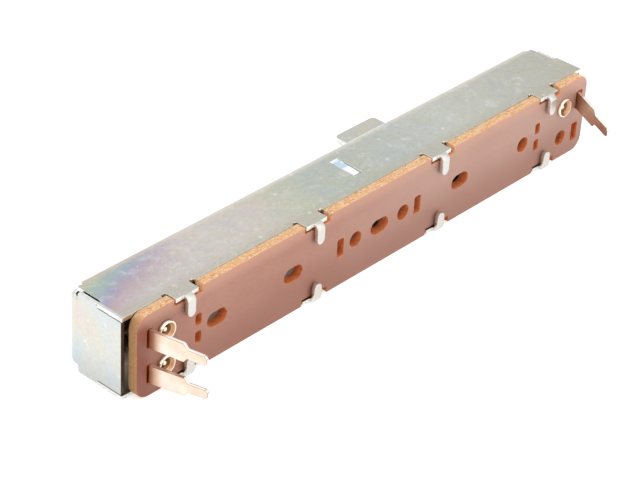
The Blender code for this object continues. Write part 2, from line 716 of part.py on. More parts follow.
def build_terminals():
    """Three plated strips, each riveted through its foot and passed through a slot."""
    finish = material("tinned_brass", (0.78, 0.66, 0.58), 0.35, 1.0)
    near_size, far_size = (NEAR_LEG_LENGTH, NEAR_WIDE_LENGTH), (FAR_LEG_LENGTH, FAR_WIDE_LENGTH)
    lower = Z_LOWER - LOWER_LEG_DROP
    rows = (
        ("terminal_near_upper", NEAR_RIVET, NEAR_LEG, Z_UPPER, Z_UPPER, NEAR_UPPER_LEAN, near_size),
        ("terminal_near_lower", NEAR_RIVET, NEAR_LEG, Z_LOWER, lower, NEAR_LOWER_LEAN, near_size),
        ("terminal_far", FAR_RIVET, FAR_LEG, Z_UPPER, Z_UPPER, FAR_LEAN, far_size),
    )
    for name, rivet, leg, z, middle, lean, size in rows:
        terminal = add_object(name, terminal_mesh(name, rivet, leg, middle, lean, *size), finish)
        combine(terminal, "DIFFERENCE", [shank_clearance_mesh(rivet, z)], "rivet_hole")


def rivet_profile():
    """Semi-tubular rivet: head inside, rolled end outside, from axis to axis."""
    face = Y_BOARD_OUT - SEAT
    head = Y_FOOT_HIGH + SEAT
    top = head + RIVET_HEAD_HEIGHT
    roll = (RIVET_FLANGE_RADIUS - RIVET_BORE_RADIUS) / 2
    middle = RIVET_BORE_RADIUS + roll
    floor = face + RIVET_BORE_DEPTH
    edge = RIVET_HEAD_HEIGHT / 2
    rolled = [(middle + roll * math.cos(a), face - RIVET_FLANGE_HEIGHT * math.sin(a))
              for a in (math.pi * i / CORNER_STEPS for i in range(CORNER_STEPS + 1))]
    nub = [(RIVET_NUB_RADIUS * math.cos(a), floor - RIVET_NUB_RADIUS * math.sin(a))
           for a in (math.pi / 2 * i / BEND_STEPS for i in range(BEND_STEPS))]
    crown = [(RIVET_HEAD_RADIUS - edge + x, top - edge + y) for x, y in arc((0.0, 0.0), edge, 0.0, SQUARE)]
    return ([(0.0, top)] + crown[::-1] + [(RIVET_HEAD_RADIUS, head), (RIVET_SHANK_RADIUS, head),
             (RIVET_SHANK_RADIUS, face)] + rolled + [(RIVET_BORE_RADIUS, floor)]
            + nub + [(0.0, floor - RIVET_NUB_RADIUS)])


def build_rivets():
    """One rivet for each terminal."""
    finish = material("brass", (0.80, 0.68, 0.42), 0.3, 1.0)
    mesh = turned_mesh("rivet", rivet_profile())
    mesh.materials.append(finish)
    rows = (
        ("rivet_near_upper", NEAR_RIVET, Z_UPPER),
        ("rivet_near_lower", NEAR_RIVET, Z_LOWER),
        ("rivet_far", FAR_RIVET, Z_UPPER),
    )
    for name, x, z in rows:
        add_object(name, mesh, location=(x, 0.0, z))


# Slider

def carriage_mesh():
    """Body of the carriage: rails at both faces and a channel along each side."""
    half = CASE_WIDTH / 2 - SHEET - RUNNING
    core = half - CARRIAGE_CHANNEL
    high, low = Y_CARRIAGE_HIGH, Y_CARRIAGE_LOW
    quarter = [(high, core), (high, half), (high - CARRIAGE_RAIL, half), (high - CARRIAGE_RAIL, core),
               (low + CARRIAGE_RAIL, core), (low + CARRIAGE_RAIL, half), (low, half)]
    section = quarter[1:] + [(y, -z) for y, z in reversed(quarter[1:])]
    return prism_mesh("carriage", section, "X", -CARRIAGE_LENGTH / 2, CARRIAGE_LENGTH / 2)


def carriage_waste_meshes():
    """Chamfered ends, the lever's pocket and the two cored pockets beside it."""
    end, edge = CARRIAGE_LENGTH / 2, CASE_WIDTH / 2
    chamfer = CARRIAGE_CHAMFER
    meshes = []
    for side in (-1, 1):
        for up in (-1, 1):
            z = up * (CASE_WIDTH / 2 - SHEET - RUNNING)
            outline = [(side * (end - chamfer), z), (side * end, z - up * chamfer),
                       (side * (end + OVERCUT), z - up * chamfer), (side * (end + OVERCUT), up * edge),
                       (side * (end - chamfer), up * edge)]
            meshes.append(prism_mesh("chamfer", outline, "Y", Y_CARRIAGE_LOW - OVERCUT, Y_CARRIAGE_HIGH + OVERCUT))
    top = Y_CARRIAGE_HIGH + OVERCUT
    width, height = LEVER_STEM_WIDTH + 2 * SEAT, LEVER_THICKNESS + 2 * SEAT
    outline = slot_outline((0.0, 0.0), width, height, SEAT)
    meshes.append(prism_mesh("lever_pocket", outline, "Y", Y_CARRIAGE_HIGH - LEVER_ROOT - SEAT, top))
    pocket_x = LEVER_STEM_WIDTH / 2 + CARRIAGE_WALL + CARRIAGE_POCKET_LENGTH / 2
    pocket_height = 2 * (edge - SHEET - RUNNING - CARRIAGE_CHANNEL - CARRIAGE_WALL)
    for side in (-1, 1):
        outline = slot_outline((side * pocket_x, 0.0), CARRIAGE_POCKET_LENGTH, pocket_height, SLOT_ROUND)
        meshes.append(prism_mesh("cored_pocket", outline, "Y", Y_CARRIAGE_HIGH - CARRIAGE_POCKET_DEPTH, top))
    return meshes


def peg_meshes(radius, low, high):
    """The two pegs, or the holes for them, on the carriage's board side."""
    outlines = [circle((0.0, side * PEG_OFFSET), radius) for side in (-1, 1)]
    return [prism_mesh("peg", o, "Y", low, high) for o in outlines]


def build_carriage(parent):
    """Moulded carriage that runs between the side walls."""
    finish = material("acetal", (0.05, 0.05, 0.055), 0.45, 0.0)
    carriage = add_object("carriage", carriage_mesh(), finish, parent)
    combine(carriage, "DIFFERENCE", carriage_waste_meshes(), "pockets")
    low = Y_CARRIAGE_LOW - SEAT - WIPER_SHEET - PEG_HEIGHT / 2
    combine(carriage, "UNION", peg_meshes(PEG_RADIUS, low, Y_CARRIAGE_LOW + PEG_HEIGHT), "pegs")


def lever_outline():
    """T-shaped blade: a stem in the slot and a wide head for the knob."""
    stem, head = LEVER_STEM_WIDTH / 2, LEVER_HEAD_WIDTH / 2
    root = Y_CARRIAGE_HIGH - LEVER_ROOT
    neck = Y_WEB + LEVER_HEAD_START
    tip = Y_WEB + LEVER_REACH
    r = LEVER_ROUND
    right = [(stem, root)] + arc((stem + r, neck - r), r, 180.0, -SQUARE, CORNER_STEPS)
    right += arc((head - r, neck + r), r, -SQUARE, SQUARE, CORNER_STEPS)
    right += arc((head - r, tip - r), r, 0.0, SQUARE, CORNER_STEPS)
    return right + [(-x, y) for x, y in reversed(right)]


def build_lever(parent):
    """Flat steel lever, pressed into the carriage."""
    finish = material("lever_steel", (0.55, 0.55, 0.52), 0.35, 1.0)
    half = LEVER_THICKNESS / 2
    add_object("lever", prism_mesh("lever", lever_outline(), "Z", -half, half), finish, parent)


def finger_path():
    """Centre line of a wiper finger: out of the plate, folded back and down to the track."""
    plate = Y_CARRIAGE_LOW - SEAT - WIPER_SHEET / 2
    contact = Y_FILM + SEAT + WIPER_SHEET / 2
    start = (-WIPER_PLATE_LENGTH / 2 + WIPER_FOLD, plate)
    fold = WIPER_PLATE_LENGTH - 2 * WIPER_FOLD
    drop = plate - 2 * WIPER_FOLD - contact
    slope = math.degrees(math.asin(drop / WIPER_FINGER_LENGTH))
    tip = WIPER_TIP_BEND / 2
    steps = ((fold, -180.0 + slope, WIPER_FOLD), (WIPER_FINGER_LENGTH - WIPER_TIP_RADIUS, 0.0, 0.0),
             (0.0, -slope - tip, WIPER_TIP_RADIUS))
    return StripPath(start, 0.0, steps)


def build_wiper(parent):
    """Bridge that joins the two tracks: one plate with two groups of sprung fingers."""
    finish = material("phosphor_bronze", (0.72, 0.48, 0.28), 0.3, 1.0)
    fingers = finger_centres()
    edge = max(fingers) + WIPER_FINGER_WIDTH / 2
    high = Y_CARRIAGE_LOW - SEAT
    half_length = WIPER_PLATE_LENGTH / 2 - WIPER_FOLD
    outline = rounded_rectangle((-half_length, -edge), (half_length, edge), WIPER_SHEET)
    mesh = prism_mesh("wiper", outline, "Y", high - WIPER_SHEET, high)
    wiper = add_object("wiper", mesh, finish, parent)
    path = finger_path()
    half = WIPER_FINGER_WIDTH / 2
    strips = [strip_mesh("finger", path, WIPER_SHEET, lambda distance: half, across=z) for z in fingers]
    combine(wiper, "UNION", strips, "fingers")
    low = high - WIPER_SHEET - OVERCUT
    combine(wiper, "DIFFERENCE", peg_meshes(PEG_RADIUS + SEAT, low, high + OVERCUT), "peg_holes")


def finger_centres():
    """Heights of the fingers about the carriage's middle, two over each track."""
    pitch = WIPER_FINGER_WIDTH + WIPER_FINGER_GAP
    centres = []
    for track in (Z_HOLE_LINE - TRACK_OFFSET, Z_HOLE_LINE + TRACK_OFFSET):
        centres += [track - Z_MID - pitch / 2, track - Z_MID + pitch / 2]
    return centres


def build_guide_spring(parent):
    """Bowed leaf in the carriage's lower channel, which presses on the lower side wall."""
    finish = material("spring_steel", (0.50, 0.50, 0.50), 0.3, 1.0)
    wall = -Z_MID + SHEET + SEAT + SPRING_SHEET / 2
    core = -(CASE_WIDTH / 2 - SHEET - RUNNING - CARRIAGE_CHANNEL) - SEAT - SPRING_SHEET / 2
    sag = core - wall
    radius = (SPRING_HALF_LENGTH ** 2 + sag ** 2) / (2 * sag)
    sweep = 2 * math.degrees(math.asin(SPRING_HALF_LENGTH / radius))
    path = StripPath((-SPRING_HALF_LENGTH, core), -sweep / 2, ((0.0, sweep, radius),))
    mesh = strip_mesh("guide_spring", path, SPRING_SHEET, lambda distance: SPRING_WIDTH / 2)
    middle = (Y_CARRIAGE_HIGH + Y_CARRIAGE_LOW) / 2
    spring = add_object("guide_spring", mesh, finish, parent, (0.0, middle, 0.0))
    spring.rotation_euler = (math.radians(SQUARE), 0.0, 0.0)


def build_slider():
    """Everything that moves, under one empty on the joint's axis."""
    axis = bpy.data.objects.new("slider_axis", None)
    bpy.context.scene.collection.objects.link(axis)
    axis.location = (SLIDER_REST, 0.0, Z_MID)
    build_carriage(axis)
    build_lever(axis)
    build_wiper(axis)
    build_guide_spring(axis)


def clear_scene():
    """Remove what the file already holds."""
    for obj in list(bpy.data.objects):
        bpy.data.objects.remove(obj, do_unlink=True)


def main():
    """Build every piece of the potentiometer."""
    clear_scene()
    build_case()
    build_board()
    build_films()
    build_terminals()
    build_rivets()
    build_slider()


main()
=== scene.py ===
"""Looks of a slide potentiometer: folded zinc-plated case, riveted phenolic board, solder terminals.

Every length is in metres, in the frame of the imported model: X along the travel, Y the way the lever
points, Z up from the side wall that the part lies on. The finishes work in millimetres of that frame.
"""

import logging
import math
from dataclasses import dataclass
from enum import Enum

import bmesh
import bpy
from bpy.types import Camera, Light, Mesh, Node, NodeOutputs, NodeSocket, NodeTree, Object
from mathutils import Matrix, Vector
from mathutils.bvhtree import BVHTree

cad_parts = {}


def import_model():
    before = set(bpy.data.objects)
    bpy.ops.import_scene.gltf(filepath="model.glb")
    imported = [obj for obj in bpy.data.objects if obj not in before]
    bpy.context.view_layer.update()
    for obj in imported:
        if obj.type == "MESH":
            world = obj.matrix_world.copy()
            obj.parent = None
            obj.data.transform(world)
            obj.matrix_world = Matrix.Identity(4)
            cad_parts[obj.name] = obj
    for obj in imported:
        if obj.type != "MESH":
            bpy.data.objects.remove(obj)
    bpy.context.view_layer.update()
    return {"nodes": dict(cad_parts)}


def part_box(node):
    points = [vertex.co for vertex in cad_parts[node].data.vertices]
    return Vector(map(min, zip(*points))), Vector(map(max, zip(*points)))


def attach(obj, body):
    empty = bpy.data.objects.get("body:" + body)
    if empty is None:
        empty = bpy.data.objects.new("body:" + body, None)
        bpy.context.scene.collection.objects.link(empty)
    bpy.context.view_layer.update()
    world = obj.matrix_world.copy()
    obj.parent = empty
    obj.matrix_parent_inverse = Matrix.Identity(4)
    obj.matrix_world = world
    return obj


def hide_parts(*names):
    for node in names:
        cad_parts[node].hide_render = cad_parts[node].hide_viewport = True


MM = 0.001
LOG = logging.getLogger("slide_potentiometer")


class Body(Enum):
    """The two rigid bodies of the part."""

    HOUSING = "housing"
    SLIDER = "slider"


def linear(hex_colour: str) -> tuple[float, float, float, float]:
    """Turns an sRGB hex value to the linear colour that Blender's sockets take.

    Args:
        hex_colour: Six hex digits after a hash, such as "#c8a27c".

    Returns:
        Linear red, green, blue and an alpha of 1.
    """
    parts = [int(hex_colour[i:i + 2], 16) / 255 for i in (1, 3, 5)]
    red, green, blue = (c / 12.92 if c <= 0.04045 else ((c + 0.055) / 1.055) ** 2.4 for c in parts)
    return red, green, blue, 1.0


def fill_ramp(ramp: bpy.types.ColorRamp, stops: tuple[tuple[float, str], ...]) -> None:
    """Gives a new colour ramp, which has two stops, its own ones.

    Args:
        ramp: Colour ramp of a new node.
        stops: Place and hex colour of each stop, from 0 to 1.
    """
    while len(ramp.elements) < len(stops):
        ramp.elements.new(1.0)
    for element, (place, colour) in zip(ramp.elements, stops):
        element.position = place
        element.color = linear(colour)


def add(tree: NodeTree, kind: str, inputs: dict | None = None, stops: tuple[tuple[float, str], ...] = (),
        **settings: object) -> Node:
    """Adds a node with its settings, input values and links.

    Args:
        tree: Node tree of a material, a world or a modifier.
        kind: Blender's identifier of the node.
        inputs: Input name or index, against a value, a hex colour, or the output socket or node to
            link from, whose first output is then meant.
        stops: Place and hex colour of each stop of the node's colour ramp.
        settings: Properties of the node itself.

    Returns:
        The new node.
    """
    node = tree.nodes.new(kind)
    for name, value in settings.items():
        setattr(node, name, value)
    for key, value in (inputs or {}).items():
        if isinstance(value, (NodeSocket, Node)):
            tree.links.new(value.outputs[0] if isinstance(value, Node) else value, node.inputs[key])
        else:
            is_hex = isinstance(value, str) and value.startswith("#")
            node.inputs[key].default_value = linear(value) if is_hex else value
    if stops:
        fill_ramp(node.color_ramp, stops)
    return node


Limit = tuple[NodeSocket, float, float]


def between(value: NodeSocket, low: float, high: float, soft: float) -> tuple[Limit, Limit]:
    """Returns the two limits of a stretch from low to high, each a soft step of twice the given width."""
    return (value, low - soft, low + soft), (value, high + soft, high - soft)


@dataclass(frozen=True)
class Finish:
    """What every finish shares: a name, a colour, and how glossy and metallic it is."""

    name: str
    colour: str
    metallic: float
    roughness: float

    def material(self) -> bpy.types.Material:
        """Makes the finish's material on first use.

        Returns:
            The one material of this finish.
        """
        known = bpy.data.materials.get(self.name)
        if known is not None:
            return known
        made = bpy.data.materials.new(self.name)
        made.use_nodes = True
        tree = made.node_tree
        shader = next(n for n in tree.nodes if n.type == "BSDF_PRINCIPLED")
        shader.inputs["Base Color"].default_value = linear(self.colour)
        shader.inputs["Metallic"].default_value = self.metallic
        shader.inputs["Roughness"].default_value = self.roughness
        self.dress(tree, shader)
        return made

    def dress(self, tree: NodeTree, shader: Node) -> None:
        """Adds the pattern of the finish to a material's tree.

        Args:
            tree: The material's tree.
            shader: Its Principled shader.
        """

    def axes(self, tree: NodeTree) -> NodeOutputs:
        """Takes the place on the piece from its Object coordinates.

        Args:
            tree: The material's tree.

        Returns:
            X, Y and Z in millimetres.
        """
        place = add(tree, "ShaderNodeTexCoord").outputs["Object"]
        in_mm = add(tree, "ShaderNodeVectorMath", {0: place, "Scale": 1.0 / MM}, operation="SCALE")
        return add(tree, "ShaderNodeSeparateXYZ", {0: in_mm}).outputs

    def cells(self, tree: NodeTree, sizes_mm: tuple[float, ...],
              turn: tuple[float, float, float] = (0.0, 0.0, 0.0)) -> NodeSocket:
        """Scales Object coordinates so that one pattern cell has the given size.

        Args:
            tree: The material's tree.
            sizes_mm: Cell size along each axis, or one size for all three.
            turn: Rotation of the pattern, in radians.

        Returns:
            Vector for a texture of scale 1.
        """
        place = add(tree, "ShaderNodeTexCoord").outputs["Object"]
        turned = add(tree, "ShaderNodeMapping", {"Vector": place, "Rotation": turn})
        scale = tuple(1.0 / (s * MM) for s in (sizes_mm * 3)[:3])
        return add(tree, "ShaderNodeMapping", {"Vector": turned, "Scale": scale}).outputs[0]

    def patches(self, tree: NodeTree, sizes_mm: tuple[float, ...], detail: float = 2.0, rough: float = 0.5,
                distortion: float = 0.0, turn: tuple[float, float, float] = (0.0, 0.0, 0.0)) -> NodeSocket:
        """Makes irregular patches of the given size.

        Args:
            tree: The material's tree.
            sizes_mm: Patch size along each axis, or one size for all three.
            detail: How many finer sizes are mixed in.
            rough: How strong the finer sizes are.
            distortion: How far the patches are pulled out of shape.
            turn: Rotation of the pattern, in radians.

        Returns:
            A value about 0.5, mostly from 0.3 to 0.7.
        """
        settings = {"Vector": self.cells(tree, sizes_mm, turn), "Scale": 1.0, "Detail": detail,
                    "Roughness": rough, "Distortion": distortion}
        return add(tree, "ShaderNodeTexNoise", settings).outputs[0]

    def where(self, tree: NodeTree, *limits: Limit, most: NodeSocket | float = 1.0) -> NodeSocket:
        """Multiplies soft steps, so that the result is highest where every limit is met.

        Args:
            tree: The material's tree.
            limits: A value, the level at which its share is 0, and the level at which it is 1.
            most: The result where all of them are 1.

        Returns:
            A share from 0 to most.
        """
        share = most
        for value, start, end in limits:
            step = add(tree, "ShaderNodeMapRange", {"Value": value, "From Min": start, "From Max": end},
                       interpolation_type="SMOOTHSTEP")
            both = add(tree, "ShaderNodeMath", {0: step, 1: share}, operation="MULTIPLY")
            share = both.outputs[0]
        return share

    def lay(self, tree: NodeTree, colour: NodeSocket | str, shade: NodeSocket | str, *limits: Limit,
            most: NodeSocket | float = 1.0) -> NodeSocket:
        """Lays a second colour over a first one where the limits are met, as far as the share most."""
        share = self.where(tree, *limits, most=most)
        return add(tree, "ShaderNodeMix", {0: share, 6: colour, 7: shade}, data_type="RGBA").outputs[2]

    def toned(self, tree: NodeTree, colour: NodeSocket, value: NodeSocket,
              *stops: tuple[float, str]) -> NodeSocket:
        """Multiplies a colour by the tones that the stops give over a value."""
        factors = {0: 1.0, 6: colour, 7: add(tree, "ShaderNodeValToRGB", {0: value}, stops).outputs[0]}
        return add(tree, "ShaderNodeMix", factors, data_type="RGBA", blend_type="MULTIPLY").outputs[2]

    def coat(self, tree: NodeTree, shader: Node, colour: NodeSocket, height: NodeSocket,
             depth_mm: float) -> None:
        """Gives the shader its colour and its relief.

        Args:
            tree: The material's tree.
            shader: Its Principled shader.
            colour: Colour of the surface.
            height: Value that the relief follows.
            depth_mm: Depth of the relief from 0 to 1 of that value.
        """
        bump = add(tree, "ShaderNodeBump", {"Height": height, "Distance": depth_mm * MM})
        tree.links.new(colour, shader.inputs["Base Color"])
        tree.links.new(bump.outputs["Normal"], shader.inputs["Normal"])

    def vary_gloss(self, tree: NodeTree, shader: Node, value: NodeSocket, start: float, end: float,
                   rough: tuple[float, float]) -> NodeSocket:
        """Lets the roughness follow a value.

        Args:
            tree: The material's tree.
            shader: Its Principled shader.
            value: Value to follow.
            start: Level of the value at the first roughness.
            end: Level of the value at the second roughness.
            rough: The two roughnesses.

        Returns:
            The roughness.
        """
        levels = {"Value": value, "From Min": start, "From Max": end, "To Min": rough[0], "To Max": rough[1]}
        gloss = add(tree, "ShaderNodeMapRange", levels, interpolation_type="SMOOTHSTEP").outputs[0]
        tree.links.new(gloss, shader.inputs["Roughness"])
        return gloss


@dataclass(frozen=True)
class ZincPlate(Finish):
    """Bright zinc plate with a clear chromate film on rolled steel sheet.

    The film is thin enough to show faint interference colours: green, blue and lilac bands where it runs
    thin at one end, and a slow drift between pinkish and greenish grey along the sheet. Handling leaves
    fine scratches and small pale marks. The punch that lanced the tongue left its face burnished; the face
    is also painted white, a painted highlight where it catches the lamp. The prongs are painted brighter,
    a painted reflection of the white table. Inside the folded case the sheet is painted dull and brownish,
    a painted shade of the closed box.
    """

    end_colour: str = "#d5d7d4"
    painted_inner_shade: str = "#9a8a7b"
    cloud_mm: float = 6.0
    grain_mm: float = 0.3  # rolling leaves a grain near 0.05 mm, drawn coarser so that it shows
    speck_mm: float = 1.6
    scratch_mm: float = 0.14  # hairline scratches are near 0.03 mm wide, drawn coarser so that they show
    tinted: bool = True
    bands: tuple[tuple[float, str], ...] = (
        (0.0, "#c2beac"), (0.12, "#b9c3b3"), (0.25, "#aebfbb"), (0.37, "#abb6c0"), (0.47, "#afaec3"),
        (0.6, "#bbadbd"), (0.72, "#c6b4ba"), (0.85, "#cabfc2"), (1.0, "#cfc8c6"))
    drift: tuple[tuple[float, str], ...] = (
        (0.0, "#d4cdc9"), (0.12, "#d3ccc5"), (0.21, "#c9cabb"), (0.29, "#bcc3bc"), (0.38, "#bfc2ba"),
        (0.48, "#c1c5c2"), (0.64, "#cacbc4"), (0.8, "#c4c4bc"), (1.0, "#bfbdb3"))

    def film(self, tree: NodeTree, axes: NodeOutputs, clouds: NodeSocket) -> NodeSocket:
        """Joins the near end's bands to the drift beyond them, each shifted irregularly by the clouds.

        Args:
            tree: The material's tree.
            axes: Place on the sheet, in millimetres.
            clouds: Irregular patches.

        Returns:
            Colour of the film along the sheet.
        """
        films = []
        fused = {"operation": "MULTIPLY_ADD"}
        wander = add(tree, "ShaderNodeMath", {0: clouds, 1: 9.0, 2: -4.5}, **fused)
        for slant, loose, start, end, stops in (
                (-2.5, 1.0, -44.0, -24.0, self.bands), (0.0, 1.5, -22.0, 38.0, self.drift)):
            along = add(tree, "ShaderNodeMath", {0: wander, 1: loose, 2: axes["X"]}, **fused)
            place = add(tree, "ShaderNodeMath", {0: axes["Y"], 1: slant, 2: along}, **fused)
            share = add(tree, "ShaderNodeMapRange", {"Value": place, "From Min": start, "From Max": end})
            films.append(add(tree, "ShaderNodeValToRGB", {0: share}, stops).outputs[0])
        return self.lay(tree, *films, (axes["X"], -31.0, -21.0))

    def sheet_tint(self, tree: NodeTree, axes: NodeOutputs, clouds: NodeSocket) -> NodeSocket:
        """Adds the mottle, the paler bend beside the web, the duller board side, and the prongs painted
        brighter, a painted reflection of the white table.

        Args:
            tree: The material's tree.
            axes: Place on the sheet, in millimetres.
            clouds: Irregular patches.

        Returns:
            Colour of the web, the side walls and the prongs.
        """
        hues = self.patches(tree, (3.2, 1.5, 1.5), 4.0, 0.65, 0.4, (0.0, 0.0, 0.7))
        colour = self.toned(tree, self.film(tree, axes, clouds), hues, (0.3, "#fffafa"), (0.42, "#fcfdf3"),
                            (0.52, "#ffffff"), (0.62, "#f8fbfc"), (0.75, "#f9f7fd"))
        mottle = self.patches(tree, (1.7,), 3.0, 0.6, 0.3)
        colour = self.lay(tree, colour, "#dee0da", (mottle, 0.54, 0.72), most=0.45)
        bend = self.lay(tree, "#d6c5ba", "#e0dad1", (axes["X"], -32.0, -18.0))
        # The last stretch paints the prongs brighter, a painted reflection of the white table.
        for shade, start, end, share in ((bend, 2.5, 3.3, 0.8), ("#bdb9aa", -2.2, -3.9, 0.6),
                                         ("#eef0ee", -5.2, -5.5, 0.5)):
            colour = self.lay(tree, colour, shade, (axes["Y"], start, end), most=share)
        return colour

    def tint(self, tree: NodeTree) -> NodeSocket:
        """Puts the colours of the walls, the near flap and the inside's painted shade together.

        Args:
            tree: The material's tree.

        Returns:
            Colour of the film all over the sheet.
        """
        axes = self.axes(tree)
        clouds = self.patches(tree, (self.cloud_mm,), 4.0, 0.6, 0.5)
        walls = self.sheet_tint(tree, axes, clouds)
        flap = add(tree, "ShaderNodeValToRGB", {0: clouds}, (
            (0.3, "#dbd3ce"), (0.42, "#dad7cb"), (0.55, self.end_colour), (0.7, "#cdd7dd")))
        # The flap is darker towards the bottom.
        flap_darker_low = self.lay(tree, flap.outputs[0], "#b9bebd", (axes["Z"], 5.0, 0.5), most=0.5)
        skin = self.lay(tree, walls, flap_darker_low, (axes["X"], -37.1, -37.3))
        # Painted shade: the inside of the closed case is painted a dull brownish dark.
        return self.lay(tree, skin, self.painted_inner_shade, *between(axes["X"], -37.25, 37.25, 0.05),
                        *between(axes["Y"], -3.95, 3.8, 0.05), *between(axes["Z"], 0.25, 9.85, 0.05))

    def handled(self, tree: NodeTree, colour: NodeSocket) -> NodeSocket:
        """Adds the small pale marks and the crossing scratches.

        Args:
            tree: The material's tree.
            colour: Colour without them.

        Returns:
            Colour with them.
        """
        spots = self.cells(tree, (self.speck_mm,))
        marks = add(tree, "ShaderNodeTexVoronoi", {"Vector": spots, "Scale": 1.0, "Randomness": 1.0}).outputs
        colour = self.lay(tree, colour, "#f0f0ea", (marks["Distance"], 0.22, 0.04),
                          (marks["Color"], 0.55, 0.8), most=0.5)
        fine = (5.0, self.scratch_mm, self.scratch_mm)
        lines = [self.where(tree, (self.patches(tree, fine, 0.0, turn=turn), 0.68, 0.82), most=0.45)
                 for turn in ((0.0, 0.0, 0.5), (0.3, 0.2, -0.9))]
        scratch = add(tree, "ShaderNodeMath", {0: lines[0], 1: lines[1]}, operation="MAXIMUM").outputs[0]
        patchy = self.patches(tree, (5.0,))
        return self.lay(tree, colour, "#eeeee8", (patchy, 0.44, 0.64), most=scratch)

    def polish_and_highlight_tongue(self, tree: NodeTree, shader: Node, colour: NodeSocket, gloss: NodeSocket) -> NodeSocket:
        """Polishes the tongue's face and paints it white, a painted highlight, with a bluish film near its
        root.

        Args:
            tree: The material's tree.
            shader: Its Principled shader.
            colour: Colour of the sheet.
            gloss: Roughness of the sheet.

        Returns:
            Colour of sheet and tongue.
        """
        axes = self.axes(tree)
        tongue = self.where(tree, *between(axes["X"], -0.58, 0.58, 0.03),
                            *between(axes["Y"], -1.6, 1.95, 0.03), (axes["Z"], 9.2, 9.3))
        patch = self.patches(tree, (0.9,), 2.0, 0.5, 0.4)
        # Painted highlight: the tongue's face is painted white where it catches the lamp.
        face = self.lay(tree, "#ffffff", "#c4ddec", *between(axes["Y"], 0.1, 1.6, 0.25), (patch, 0.4, 0.55))
        polished = add(tree, "ShaderNodeMapRange", {"Value": tongue, "To Min": gloss, "To Max": 0.12})
        tree.links.new(polished.outputs[0], shader.inputs["Roughness"])
        return self.lay(tree, colour, face, most=tongue)

    def dress(self, tree: NodeTree, shader: Node) -> None:
        """Adds the film's tint, the rolled grain, the marks of handling, and the tongue's polish and painted
        highlight.

        Args:
            tree: The material's tree.
            shader: Its Principled shader.
        """
        if self.tinted:
            colour = self.tint(tree)
        else:
            clouds = self.patches(tree, (1.8,), 4.0, 0.65, 0.5)
            colour = self.lay(tree, self.colour, self.end_colour, (clouds, 0.4, 0.62))
        grain = self.patches(tree, (self.grain_mm * 2, self.grain_mm, self.grain_mm), 3.0, 0.6)
        colour = self.handled(tree, self.toned(tree, colour, grain, (0.3, "#f2f2f2"), (0.7, "#ffffff")))
        rough = (self.roughness - 0.03, self.roughness + 0.05)
        gloss = self.vary_gloss(tree, shader, grain, 0.25, 0.75, rough)
        if self.tinted:
            colour = self.polish_and_highlight_tongue(tree, shader, colour, gloss)
        self.coat(tree, shader, colour, grain, 0.0012)


@dataclass(frozen=True)
class ShearedSteel(Finish):
    """Cut edge of the sheet, plated after shearing.

    The burnished part of the cut is bright, and fine lines run through the thickness.
    """

    line_mm: float = 0.12
    shade: str = "#c6c7c2"

    def dress(self, tree: NodeTree, shader: Node) -> None:
        """Adds the shear lines as tone and relief.

        Args:
            tree: The material's tree.
            shader: Its Principled shader.
        """
        lines = self.patches(tree, (self.line_mm, self.line_mm * 5, self.line_mm), 2.0, 0.6)
        tone = add(tree, "ShaderNodeValToRGB", {0: lines}, ((0.3, self.shade), (0.6, self.colour)))
        self.coat(tree, shader, tone.outputs[0], lines, 0.004)


def let_light_through(shader: Node) -> None:
    """Lets 0.4 of the light wander through the resin, red furthest, as far as 1.6 mm.

    Args:
        shader: Principled shader of the laminate.
    """
    shader.inputs["Subsurface Weight"].default_value = 0.4
    shader.inputs["Subsurface Radius"].default_value = (1.0, 0.4, 0.2)
    shader.inputs["Subsurface Scale"].default_value = 1.6 * MM


@dataclass(frozen=True)
class PhenolicPaper(Finish):
    """Phenolic resin paper laminate, pressed between polished plates.

    The face is satin, with cloudy resin and fine paper fibres just under the skin, and light wanders a
    little way through the resin. A painted glow lightens the face near the upper edge, a painted sheen
    pales it along the middle, painted shade browns and darkens it towards the near end, and painted
    shade deepens it low down.
    """

    shade: str = "#b8806e"
    painted_sheen: str = "#d2b5a8"
    painted_near_shade: str = "#95614f"
    painted_end_shade: str = "#8f4a35"
    painted_low_shade: str = "#97604b"
    painted_top_glow: str = "#dba88f"
    cloud_mm: float = 5.0
    fibre_mm: float = 0.28  # paper fibres are near 0.03 mm thick, drawn coarser so that they show

    def dress(self, tree: NodeTree, shader: Node) -> None:
        """Adds resin clouds, paper fibres, the painted glow, sheen and shade, and a slight press texture.

        Args:
            tree: The material's tree.
            shader: Its Principled shader.
        """
        clouds = self.patches(tree, (self.cloud_mm * 2, self.cloud_mm, self.cloud_mm), 3.0)
        fibres = self.patches(tree, (self.fibre_mm * 3, self.fibre_mm, self.fibre_mm), 2.0, 0.7)
        colour = self.lay(tree, self.colour, self.shade, (clouds, 0.3, 0.7), most=0.45)
        colour = self.toned(tree, colour, fibres, (0.25, "#f0f0f0"), (0.75, "#ffffff"))
        axes = self.axes(tree)
        # Painted light and shade: a painted sheen along the middle, painted shade at the near end and low
        # down, and a painted glow near the upper edge.
        for axis, start, end, share, shade in (
                ("X", -16.0, 12.0, 0.4, self.painted_sheen), ("X", -27.0, -36.5, 0.7, self.painted_near_shade),
                ("X", -33.8, -36.2, 0.8, self.painted_end_shade), ("Z", 7.6, 0.8, 0.6, self.painted_low_shade),
                ("Z", 8.2, 9.8, 0.6, self.painted_top_glow)):
            colour = self.lay(tree, colour, shade, (axes[axis], start, end), most=share)
        self.vary_gloss(tree, shader, clouds, 0.3, 0.7, (self.roughness - 0.04, self.roughness + 0.06))
        self.coat(tree, shader, colour, fibres, 0.004)
        let_light_through(shader)


